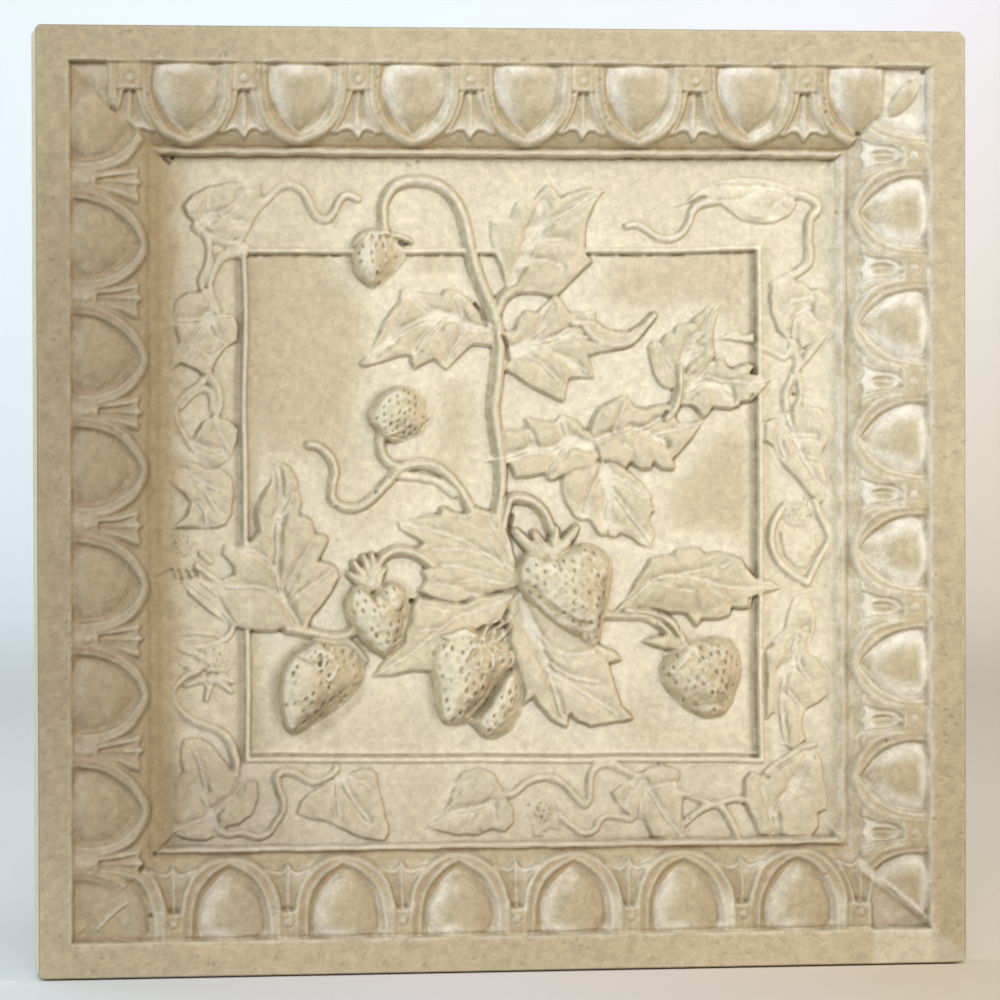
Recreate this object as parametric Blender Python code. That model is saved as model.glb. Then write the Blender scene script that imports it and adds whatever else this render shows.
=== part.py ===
"""Cast wall tile: an egg-and-dart border round a panel with a strawberry plant in relief.

The tile is one casting. It is modelled upright, as it hangs: the flat back lies in the
plane y = 0, the relief faces -Y, and the origin is at the middle of the back. The relief
is laid out as a height above the panel, worked out over a fine grid in millimetres, and
thinned to the facets that its shape needs. The sheet is then closed with sides and a back.
"""

import math

import bmesh
import bpy
import numpy as np

# Driving dimensions of the casting, in millimetres.
SIDE = 305.0
THICKNESS = 25.0
PLAN_CORNER = 3.0  # radius of the four upright corners
EDGE_ROUND = 0.8  # radius of the rim's outer edge
RIM_WIDTH = 11.7
RIM_RISE = 11.5  # from the panel up to the rim
METRES = 0.001

# The moulding: t runs inwards from the rim's inner edge.
STEP_WIDTH = 0.8
OVOLO_RUN = 27.6
OVOLO_TOP = 10.9
OVOLO_FOOT = 4.2
MOULDING_GROUND = 3.6  # how far the ground lies below the ovolo
CHANNEL_T = 25.6
CHANNEL_HEIGHT = 2.9
BEAD_T = 27.5
BEAD_HEIGHT = 4.3
BEAD_HALF = 1.1
PANEL_T = 28.8

# One egg in its shell, and the dart between two.
SHELL_HALF = 14.6
SHELL_REACH = 26.6
POCKET_HALF = 12.2
POCKET_REACH = 23.4
POCKET_DEPTH = 2.9
EGG_HALF = 11.4
EGG_HEEL_T = 8.0  # where the egg is widest
EGG_TIP_T = 21.9
EGG_CROWN = 3.7
DART_TOP_T = 9.0
DART_FOOT_T = 22.4
DART_STEM_HALF = 1.25
DART_FOOT_HALF = 7.6
DART_RISE = 1.7
PELLET_T = 5.6
PELLET_RADIUS = 1.6

EGGS_PER_SIDE = 8
FIRST_EGG = {"top": -139.6, "bottom": -127.0, "left": -134.5, "right": -128.3}
EGG_PITCH = {"top": 36.8, "bottom": 37.3, "left": 36.5, "right": 36.95}

# Soft coves stand in for the bead at the left and right.
COVES = {-1: (3.3, 9.5), 1: (3.0, 7.0)}  # side: height, width

# The thin line frame round the inner field.
FRAME_LEFT, FRAME_RIGHT = -83.6, 86.2
FRAME_TOP, FRAME_BOTTOM = 81.6, -84.2
FRAME_HALF = 0.9
FRAME_RISE = 1.0
FIELD_DIP = 0.6

# The grid that the heights are worked out on, and the facets that are kept.
GRID_CELLS = 420
FACETS = 9200

CAST_STONE = (0.70, 0.60, 0.43, 1.0)
STONE_ROUGHNESS = 0.88


def clear_scene():
    for old in list(bpy.data.objects):
        bpy.data.objects.remove(old, do_unlink=True)


def ramp(x, low, high):
    """Smooth step from 0 at low to 1 at high."""
    k = np.clip((x - low) / (high - low), 0, 1)
    return k * k * (3 - 2 * k)


def dome(q):
    """Half-round section: 1 on the axis, 0 from q = 1 outwards."""
    return np.sqrt(np.clip(1 - q * q, 0, 1))


def smooth_run(points, gap=1.0):
    """Points a gap apart on a smooth curve through the given ones."""
    p = np.array([points[0], *points, points[-1]], float)
    run = []
    for a, b, c, d in zip(p, p[1:], p[2:], p[3:]):
        count = max(2, int(math.dist(b, c) / gap))
        k = (np.arange(count) / count)[:, None]
        bend = (2 * a - 5 * b + 4 * c - d) * k**2 + (3 * b - a - 3 * c + d) * k**3
        run.append(0.5 * (2 * b + (c - a) * k + bend))
    return np.vstack([*run, p[-1:]])


class Relief:
    """Height in mm above the panel, on a grid over the tile's face."""

    def __init__(self):
        ticks = np.linspace(-SIDE / 2, SIDE / 2, GRID_CELLS + 1)
        self.u, self.v = np.meshgrid(ticks, ticks)
        self.reach = np.maximum(np.abs(self.u), np.abs(self.v))
        self.t = SIDE / 2 - RIM_WIDTH - self.reach
        self.height = np.zeros_like(self.u)

    def raise_to(self, top):
        self.height = np.maximum(self.height, top)


def arch(s, t, half, reach, power):
    """How far a point lies outside a pointed arch; negative inside."""
    return np.abs(s) - half * (1 - np.clip(t / reach, 0, 1.4) ** power)


def egg_and_dart(s, t, pitch):
    """Height of one unit; s runs along the side from the egg's middle."""
    ovolo = OVOLO_FOOT + (OVOLO_TOP - OVOLO_FOOT) * dome(t / OVOLO_RUN)
    ground = ovolo - MOULDING_GROUND
    height = ground.copy()

    shell = arch(s, t, SHELL_HALF, SHELL_REACH, 3.0)
    pocket = arch(s, t, POCKET_HALF, POCKET_REACH, 2.5)
    wall = ramp(-shell, -2.4, 0.4) * (MOULDING_GROUND - 0.2)
    height += wall
    height -= (POCKET_DEPTH - 0.2) * ramp(-pocket, -0.3, 0.5)

    between = pitch / 2 - np.abs(s)
    block = (t < DART_TOP_T) & (shell > 0)
    height = np.where(block, ovolo - 0.1, height)

    rise = np.where(t < EGG_HEEL_T, (EGG_HEEL_T - t) / 9.6, (t - EGG_HEEL_T) / (EGG_TIP_T - EGG_HEEL_T))
    swell = (np.abs(s) / EGG_HALF) ** 1.95 + rise**1.85
    egg = ovolo - POCKET_DEPTH + EGG_CROWN * np.sqrt(np.clip(1 - swell, 0, 1))
    height = np.where(swell < 1, np.maximum(height, egg), height)

    down = np.clip((t - DART_TOP_T) / (DART_FOOT_T - DART_TOP_T), 0, 1)
    flare = DART_STEM_HALF + (DART_FOOT_HALF - DART_STEM_HALF) * down**2.3
    on = ramp(flare - between, -0.3, 0.6) * ramp(DART_FOOT_T - t, -0.3, 0.5) * (t > DART_TOP_T)
    height = np.where(on > 0, np.maximum(height, ground + DART_RISE * on), height)

    pellet = np.hypot(between, t - PELLET_T) / PELLET_RADIUS
    return height + 0.8 * dome(pellet)


def border(relief):
    """Rim, egg-and-dart on each side, channel and bead; the sides meet in mitres."""
    u, v, t = relief.u, relief.v, relief.t
    height = np.zeros_like(u)
    sides = (("top", v, u, 1), ("bottom", v, u, -1), ("left", u, v, -1), ("right", u, v, 1))
    for name, across, along, side in sides:
        here = (side * across >= relief.reach - 1e-6) & (t > 0) & (t < PANEL_T)
        s, inwards = along[here], t[here]
        pitch = EGG_PITCH[name]
        eggs = FIRST_EGG[name] + pitch * np.arange(EGGS_PER_SIDE)
        nearest = eggs[np.abs(s[:, None] - eggs[None, :]).argmin(axis=1)]
        unit = egg_and_dart(s - nearest, inwards, pitch)
        unit = np.maximum(unit * (1 - ramp(inwards, CHANNEL_T, CHANNEL_T + 1)), CHANNEL_HEIGHT)
        if across is v:
            bead = BEAD_HEIGHT - 0.5 * ((inwards - BEAD_T) / BEAD_HALF) ** 2
            unit = np.where(inwards > BEAD_T - BEAD_HALF, np.maximum(unit, bead), unit)
        height[here] = unit
    for side, (rise, width) in COVES.items():
        away = SIDE / 2 - RIM_WIDTH - BEAD_T - side * u
        cove = rise * np.clip(1 - away / width, 0, 1) ** 1.7
        cove *= (away > -BEAD_HALF) & (side * u > np.abs(v) - 1)
        height = np.maximum(height, cove)
    rim = ramp(-t, -STEP_WIDTH, 0)
    relief.height = height * (1 - rim) + RIM_RISE * rim


def line_frame(relief):
    """A thin rib round the inner field, which lies a little lower beside it."""
    inside_u = np.minimum(relief.u - FRAME_LEFT, FRAME_RIGHT - relief.u)
    inside_v = np.minimum(FRAME_TOP - relief.v, relief.v - FRAME_BOTTOM)
    inside = np.minimum(inside_u, inside_v)
    rib = FRAME_RISE * (1 - ramp(np.abs(inside), 0.4 * FRAME_HALF, 1.4 * FRAME_HALF))
    dip = FIELD_DIP * ramp(inside, 0.3, 1.8) * (1 - 0.7 * ramp(inside, 2.5, 13))
    panel = relief.t > PANEL_T
    relief.height = np.where(panel, relief.height + rib - dip, relief.height)


def along_and_across(relief, start, end):
    """Distances along and across the line from start to end, and its length."""
    length = math.dist(start, end)
    du, dv = (end[0] - start[0]) / length, (end[1] - start[1]) / length
    along = (relief.u - start[0]) * du + (relief.v - start[1]) * dv
    across = (relief.v - start[1]) * du - (relief.u - start[0]) * dv
    return along, across, length


def leaf(relief, base, lobes, edge=1.7, crown=1.0):
    """A leaf of pointed, toothed lobes that spread from its base: (tip, half width) each."""
    inside = np.full_like(relief.u, -9.0)
    fold = np.zeros_like(relief.u)
    for tip, half in lobes:
        along, across, length = along_and_across(relief, base, tip)
        s = np.clip(along / length, 0, 1)
        teeth = 1 - 0.16 * np.mod(s * length / 7.0, 1.0)
        blade = 1.95 * half * s**0.45 * (1 - s) ** 0.62 * teeth
        blade = np.where((along < 0) | (along > length), -2.0, blade)
        inside = np.maximum(inside, blade - np.abs(across))
        midrib = np.exp(-((across / 1.1) ** 2)) * ((along > 0) & (along < length))
        fold = np.maximum(fold, 0.6 * midrib)
    top = edge + crown * (1 - np.exp(-np.maximum(inside, 0) / 2.2)) - fold
    relief.raise_to(np.where(inside > 0, top, -9))


def stem(relief, points, radius, rise):
    """A half-round stalk along a smooth run of points."""
    run = smooth_run(points)
    low, high = run.min(axis=0) - radius, run.max(axis=0) + radius
    near = (relief.u > low[0]) & (relief.u < high[0]) & (relief.v > low[1]) & (relief.v < high[1])
    u, v = relief.u[near], relief.v[near]
    away = np.full(u.shape, 1e9)
    for pu, pv in run:
        away = np.minimum(away, np.hypot(u - pu, v - pv))
    relief.height[near] = np.maximum(relief.height[near], rise * dome(away / radius))


def berry(relief, crown, tip, radius, rise, widest=0.42, blunt=2.3):
    """A strawberry that hangs from its crown: a round shoulder and a blunt, narrowing tail."""
    along, across, length = along_and_across(relief, crown, tip)
    k = along / length
    head = dome(np.clip((widest - k) / widest, 0, 1))
    tail = np.clip(1 - np.clip((k - widest) / (1 - widest), 0, 1) ** blunt, 0, 1) ** 0.8
    half = radius * np.where(k < widest, head, tail)
    half = np.where((k < 0) | (k > 1), 0, half)
    across = np.abs(across) / np.maximum(half, 0.001)
    relief.raise_to(np.where(half > 0, rise * (half / radius) ** 0.85 * dome(across), -9))


# Leaves of the plant: base, then each lobe's tip and half width.
PLANT_LEAVES = [
    ((9, 67), [((33.5, 100.5), 9), ((15.5, 102), 9), ((-3, 91), 8), ((30, 77.5), 6)]),
    ((-2, 54), [((-45.5, 44), 8), ((-33, 68), 8), ((-19, 68), 6), ((-28.5, 43), 5), ((-18, 43), 5)]),
    ((1, 48), [((31, 60), 9), ((18, 66), 7), ((30, 40), 7), ((20.5, 32.5), 8), ((45, 53), 3)]),
    ((58, 33), [((72.5, 63), 8), ((53, 54), 8)]),
    ((60, 32), [((89.5, 39), 6), ((75, 45), 6), ((69, 27), 4)]),
    ((33, 14), [((50, -15.5), 9), ((34.5, -12), 9), ((24, -7), 8)]),
    ((31, 17), [((-5, 12.5), 9), ((19, 27), 7), ((9, 26), 6), ((16, 7), 5)]),
    ((31, 17), [((66.5, 25), 9), ((42, 33.5), 8), ((57, 10), 7)]),
    ((-70, -41), [((-73.5, 12), 9), ((-57, -12), 9), ((-54, -23), 8), ((-90.5, -15), 9), ((-92, -28), 8)]),
    ((39, -36.5), [((92.5, -29.4), 9), ((60, -16), 8), ((79, -19), 7), ((75, -38), 5)]),
    ((5, -29), [((-33.5, -7.5), 9), ((-19.5, -2), 9), ((-27, -29), 6), ((-5, -4), 9)]),
    ((5, -31), [((-41, -56.7), 8), ((-29, -33), 5), ((-23, -55), 5)]),
    ((6, -31), [((43, -71.6), 9), ((20.5, -74), 9), ((7, -66.5), 6), ((39.5, -52.4), 7)]),
]

# Stalks of the plant: route, radius and rise.
PLANT_STEMS = [
    ([(-39, 86), (-39.3, 96.5), (-32, 103), (-21.5, 102), (-14, 93.5), (-10.8, 80.5), (-6.2, 67),
      (-3.6, 61)], 1.9, 2.3),
    ([(-3.6, 61), (-1.6, 49), (-3.4, 30), (-1.2, 11), (-2.5, -8)], 1.9, 2.4),
    ([(-3.2, 59), (1.2, 66.8), (8, 70)], 1.7, 2.2),
    ([(-64, 18), (-57, 14), (-56.3, 2), (-48.5, -2.5), (-39.5, 4.5), (-27.5, 11.8), (-17, 6.2),
      (-10.5, -4.5)], 1.4, 1.9),
    ([(-40, 22), (-38.5, 12.8), (-34, 10)], 1.4, 1.8),
    ([(54.6, 25.8), (58.8, 33), (59.2, 43)], 1.4, 2.6),
    ([(28, 56), (34.5, 50.6), (43.3, 51.3), (50.8, 59.6)], 1.1, 2.6),
    ([(-70, -41.3), (-60, -43.4), (-46, -41)], 1.5, 2.2),
    ([(0.5, -9), (3, -0.3), (10.8, -1), (18.5, -14)], 1.5, 3.0),
    ([(-22.5, -21.5), (-32, -16.4), (-40.3, -20.8), (-42, -27)], 1.5, 2.8),
    ([(32, -38), (49, -38), (60.5, -48.5)], 1.4, 2.6),
]

# Strawberries: crown, tip, radius, rise, where it is widest, and how blunt its tail is.
BERRIES = [
    ((-38.8, 87.5), (-42.2, 69), 9.6, 7.0, 0.40, 2.3),
    ((-38.5, 20), (-30.5, 37.5), 10.2, 7.5, 0.50, 2.6),
    ((-44.0, -25.5), (-38.8, -50.6), 10.6, 9.0, 0.42, 2.8),
    ((-55.2, -46.6), (-69.8, -75.3), 12.4, 9.6, 0.36, 1.9),
    ((3.2, -55.5), (-5.5, -78), 7.0, 6.5, 0.45, 2.6),
    ((-4.2, -45.2), (-18.2, -74.4), 12.2, 9.8, 0.40, 2.3),
    ((13.6, -16.5), (30.6, -49), 14.4, 10.8, 0.42, 2.0),
    ((59.5, -46.5), (69.8, -71.8), 13.2, 8.8, 0.45, 2.8),
]

# The vine round the line frame, in lower relief.
VINE_RISE = 1.1
VINE_RADIUS = 1.2
VINE_EDGE = 0.8
VINE_CROWN = 0.5
VINE_LEAVES = [
    ((-78, 105.5), [((-102, 93), 8)]),
    ((-93, 61.5), [((-108, 42), 9), ((-87, 51), 7), ((-105, 62), 6)]),
    ((-93, 27), [((-92, 11.5), 8)]),
    ((-90, 9.5), [((-107, -8.5), 8), ((-111, 8.3), 5), ((-90, -7.5), 6)]),
    ((-104, -25), [((-87, -40), 6)]),
    ((-86, -91), [((-106, -107), 11), ((-101, -77), 6)]),
    ((-54, -89.5), [((-39, -110.5), 9), ((-66, -101), 7)]),
    ((-1, -98), [((-24.5, -106.3), 9), ((-11, -88), 8)]),
    ((47, -90), [((60, -111.4), 9), ((38, -98), 7)]),
    ((88, -110), [((104, -82), 9), ((107, -103), 8), ((83, -90), 7)]),
    ((97, 99), [((62, 97), 8)]),
    ((97.5, 49), [((92, 70), 8), ((109.5, 65), 8)]),
    ((93, 26), [((109, 0), 8), ((109, 26), 7)]),
    ((103, -34), [((92, -48), 5)]),
    ((101, -45), [((89, -72), 9), ((109.5, -63), 8), ((97, -82), 6)]),
]
VINE_STEMS = [
    [(-98, 88.5), (-83, 81.5), (-79.5, 94), (-68.5, 102), (-60, 92), (-52.5, 97), (-46.5, 97.5)],
    [(-86, 82), (-94, 77), (-93.5, 61.5)],
    [(-95.5, 40), (-106, 30), (-101.5, 18.5)],
    [(-99, -54.5), (-107, -62), (-97, -72.5), (-87.5, -81), (-87, -89)],
    [(-92, -107), (-80, -108.7), (-71.5, -99), (-71, -87.5), (-60, -91.5), (-54, -86.5)],
    [(-1, -96), (13, -90.7), (28, -99.5), (35, -86.5), (45, -91)],
    [(19, -104), (28, -109.2), (32.5, -104.5), (43, -105)],
    [(61, -106), (72, -100.5), (78.5, -112)],
    [(42, 89), (52, 85.5), (64, 94), (71.5, 97.3)],
    [(96, 99.5), (105.5, 94.5), (102.5, 77), (92, 70)],
    [(110, 55.5), (97.5, 41), (97, 29)],
    [(94, -3), (90, -15), (102, -28), (109.5, -12), (104.5, -2)],
]
VINE_BERRIES = [
    ((-104.6, -8.8), (-105.2, -18), 4.6),
    ((-93.2, -57), (-92.4, -45.6), 6.0),
    ((98.6, 1.6), (98.4, -10), 6.0),
    ((13.6, -96.8), (13.8, -105.6), 4.2),
]


def planting(relief):
    for base, lobes in VINE_LEAVES:
        leaf(relief, base, lobes, VINE_EDGE, VINE_CROWN)
    for points in VINE_STEMS:
        stem(relief, points, VINE_RADIUS, VINE_RISE)
    for crown, tip, radius in VINE_BERRIES:
        berry(relief, crown, tip, radius, VINE_RISE + 0.4)
    for points, radius, rise in PLANT_STEMS:
        stem(relief, points, radius, rise)
    for base, lobes in PLANT_LEAVES:
        leaf(relief, base, lobes)
    for size in BERRIES:
        berry(relief, *size)


def round_outline(relief):
    """Rounds the rim's outer edge, and moves the grid's corners onto the plan's arcs."""
    straight = SIDE / 2 - PLAN_CORNER
    a = np.clip(np.abs(relief.u) - straight, 0, None)
    b = np.clip(np.abs(relief.v) - straight, 0, None)
    corner = (a > 0) & (b > 0)
    su, sv = np.sign(relief.u), np.sign(relief.v)
    round_u = su * (straight + a * np.sqrt(1 - b * b / (2 * PLAN_CORNER**2)))
    round_v = sv * (straight + b * np.sqrt(1 - a * a / (2 * PLAN_CORNER**2)))
    edge = np.maximum(relief.reach - (SIDE / 2 - EDGE_ROUND), 0) / EDGE_ROUND
    relief.height -= EDGE_ROUND * (1 - dome(edge))
    relief.u = np.where(corner, round_u, relief.u)
    relief.v = np.where(corner, round_v, relief.v)


def corner_border(row, column):
    """True for the border points on the plan's corner arcs, which the thinning keeps."""
    reach = math.ceil(PLAN_CORNER * GRID_CELLS / SIDE) + 1
    to_side = np.minimum(column, GRID_CELLS - column)
    to_end = np.minimum(row, GRID_CELLS - row)
    return (np.minimum(to_side, to_end) == 0) & (np.maximum(to_side, to_end) <= reach)


def thinned_sheet(relief):
    """The relief as an open sheet of facets, still in millimetres."""
    sheet = bpy.data.meshes.new("sheet")
    bm = bmesh.new()
    bmesh.ops.create_grid(bm, x_segments=GRID_CELLS, y_segments=GRID_CELLS, size=SIDE / 2)
    bm.to_mesh(sheet)
    bm.free()
    flat = np.empty(len(sheet.vertices) * 3)
    sheet.vertices.foreach_get("co", flat)
    flat = flat.reshape(-1, 3)
    cell = SIDE / GRID_CELLS
    column = np.rint((flat[:, 0] + SIDE / 2) / cell).astype(int)
    row = np.rint((flat[:, 1] + SIDE / 2) / cell).astype(int)
    front = relief.height[row, column] + (THICKNESS - RIM_RISE)
    points = np.column_stack([relief.u[row, column], -front, relief.v[row, column]])
    sheet.vertices.foreach_set("co", points.ravel())
    holder = bpy.data.objects.new("sheet", sheet)
    bpy.context.collection.objects.link(holder)
    arcs = holder.vertex_groups.new(name="arcs")
    arcs.add(np.flatnonzero(corner_border(row, column)).tolist(), 1.0, "REPLACE")
    thin = holder.modifiers.new("thin", "DECIMATE")
    thin.ratio = FACETS / (2 * GRID_CELLS**2)
    thin.vertex_group = arcs.name
    thin.invert_vertex_group = True
    thin.vertex_group_factor = 1000
    graph = bpy.context.evaluated_depsgraph_get()
    kept = bpy.data.meshes.new_from_object(holder.evaluated_get(graph))
    bpy.data.objects.remove(holder, do_unlink=True)
    return kept


def on_outline(u, v):
    """The nearest point of the plan outline, for a point of the sheet's border."""
    straight = SIDE / 2 - PLAN_CORNER
    a, b = abs(u) - straight, abs(v) - straight
    if a > 0 and b > 0:
        grow = PLAN_CORNER / math.hypot(a, b)
        a, b = a * grow, b * grow
    elif a > b:
        a = PLAN_CORNER
    else:
        b = PLAN_CORNER
    return math.copysign(straight + a, u), math.copysign(straight + b, v)


def closed_casting(sheet):
    """Adds the sides and the flat back to the sheet, and turns millimetres into metres."""
    bm = bmesh.new()
    bm.from_mesh(sheet)
    bmesh.ops.triangulate(bm, faces=bm.faces[:])
    rim_edge = -(THICKNESS - EDGE_ROUND)
    for vert in bm.verts:
        vert.co.y = max(vert.co.y, -THICKNESS)
    border_edges = [edge for edge in bm.edges if edge.is_boundary]
    for vert in {vert for edge in border_edges for vert in edge.verts}:
        u, v = on_outline(vert.co.x, vert.co.z)
        vert.co = (u, rim_edge, v)
    sides = bmesh.ops.extrude_edge_only(bm, edges=border_edges)["geom"]
    for vert in [item for item in sides if isinstance(item, bmesh.types.BMVert)]:
        vert.co.y = 0
    back_edges = [edge for edge in bm.edges if edge.is_boundary]
    bmesh.ops.contextual_create(bm, geom=back_edges)
    bmesh.ops.triangulate(bm, faces=bm.faces[:])
    bmesh.ops.recalc_face_normals(bm, faces=bm.faces[:])
    bmesh.ops.scale(bm, vec=(METRES, METRES, METRES), verts=bm.verts[:])
    bm.to_mesh(sheet)
    bm.free()
    return sheet


def cast_stone():
    material = bpy.data.materials.new("cast_stone")
    material.use_nodes = True
    shader = material.node_tree.nodes["Principled BSDF"]
    shader.inputs["Base Color"].default_value = CAST_STONE
    shader.inputs["Roughness"].default_value = STONE_ROUGHNESS
    shader.inputs["Metallic"].default_value = 0.0
    return material


clear_scene()
face = Relief()
border(face)
line_frame(face)
planting(face)
round_outline(face)
mesh = closed_casting(thinned_sheet(face))
mesh.materials.append(cast_stone())
tile = bpy.data.objects.new("tile", mesh)
bpy.context.collection.objects.link(tile)
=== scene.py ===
import math

import bmesh
import bpy
import numpy as np
from mathutils import Matrix, Vector


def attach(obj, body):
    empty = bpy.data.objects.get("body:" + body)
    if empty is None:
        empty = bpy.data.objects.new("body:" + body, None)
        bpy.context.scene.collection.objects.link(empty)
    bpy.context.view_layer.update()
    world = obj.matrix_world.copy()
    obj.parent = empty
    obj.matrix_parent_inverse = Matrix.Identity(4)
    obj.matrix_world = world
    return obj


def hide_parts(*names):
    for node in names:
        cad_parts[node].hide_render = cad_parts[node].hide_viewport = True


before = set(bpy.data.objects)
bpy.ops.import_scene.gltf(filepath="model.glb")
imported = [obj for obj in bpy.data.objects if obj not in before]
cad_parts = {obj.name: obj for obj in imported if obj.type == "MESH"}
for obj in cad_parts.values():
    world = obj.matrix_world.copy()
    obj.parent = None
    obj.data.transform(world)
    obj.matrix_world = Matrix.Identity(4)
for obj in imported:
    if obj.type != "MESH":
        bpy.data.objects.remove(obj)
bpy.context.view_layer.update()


# ---------------------------------------------------------------------------
# The slab: one square casting in cream cast stone, with a plain raised rim round a sunk panel.
# It was poured face down in a rubber mould. Sizes are in mm: u runs to the right and v upwards
# over the face, t runs inwards from the rim, and heights are counted from the panel.
MM = 0.001
SIDE = 305.0
HALF = SIDE / 2
THICKNESS = 25.0
RIM_WIDTH = 11.7
RIM_RISE = 11.5  # from the panel up to the rim
FRONT = THICKNESS - RIM_RISE  # from the back up to the panel
INNER = HALF - RIM_WIDTH


# ---------------------------------------------------------------------------
# The border: an egg-and-dart ovolo between the rim and a thin bead, carved in the master by hand,
# so each side has its own eggs and spacing and the corners are patched. Cast with the slab.
OVOLO_TOP = 10.9
OVOLO_FOOT = 4.2
OVOLO_RUN = 27.6
# how far in from the rim: the eggs' widest line with the pellets, the ends of the blocks and of the
# darts, and the panel's edge
EGG_LINE = 5.2
BLOCK_END = 9.4
DARTS_END = 23.4
PANEL_EDGE = 29.7


def among_four(table, i, j, a, b):
    """The value between four neighbours of a table, a along and b up from the place i, j."""
    low = table[j, i] * (1 - a) + table[j, i + 1] * a
    high = table[j + 1, i] * (1 - a) + table[j + 1, i + 1] * a
    return low * (1 - b) + high * b


def waves(u, v, size, seed):
    """Soft uneven hills between -1 and 1, about size mm across, as a hand leaves them."""
    count = int(SIDE / size) + 8
    table = np.random.default_rng(seed).uniform(-1, 1, (count, count))
    a, b = u / size + count / 2, v / size + count / 2
    i, j = np.floor(a).astype(int), np.floor(b).astype(int)
    i, j = np.clip(i, 0, count - 2), np.clip(j, 0, count - 2)
    a, b = np.clip(a - i, 0, 1), np.clip(b - j, 0, 1)
    return among_four(table, i, j, a * a * (3 - 2 * a), b * b * (3 - 2 * b))


def ramp(x, low, high):
    """0 below low and 1 above high, eased between."""
    k = np.clip((x - low) / (high - low), 0, 1)
    return k * k * (3 - 2 * k)


def ridge(x, width):
    """A rounded crest over x = 0."""
    return np.exp(-((x / width) ** 2))


def ovolo(t):
    """The quarter-round that the border is carved from."""
    return OVOLO_FOOT + (OVOLO_TOP - OVOLO_FOOT) * np.sqrt(np.clip(1 - (t / OVOLO_RUN) ** 2, 0, 1))


def arch_distance(s, t, width, length, full, blunt):
    """How far outside an arch a place lies.

    width is half its width and length its height; full sets how upright its feet are, and blunt how
    blunt its point is.
    """
    x, k = np.abs(s) / width + 1e-6, np.clip(t / length, 1e-3, 1.4)
    value = x**blunt + k**full - 1
    return value / np.hypot(blunt / width * x ** (blunt - 1), full / length * k ** (full - 1))


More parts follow.
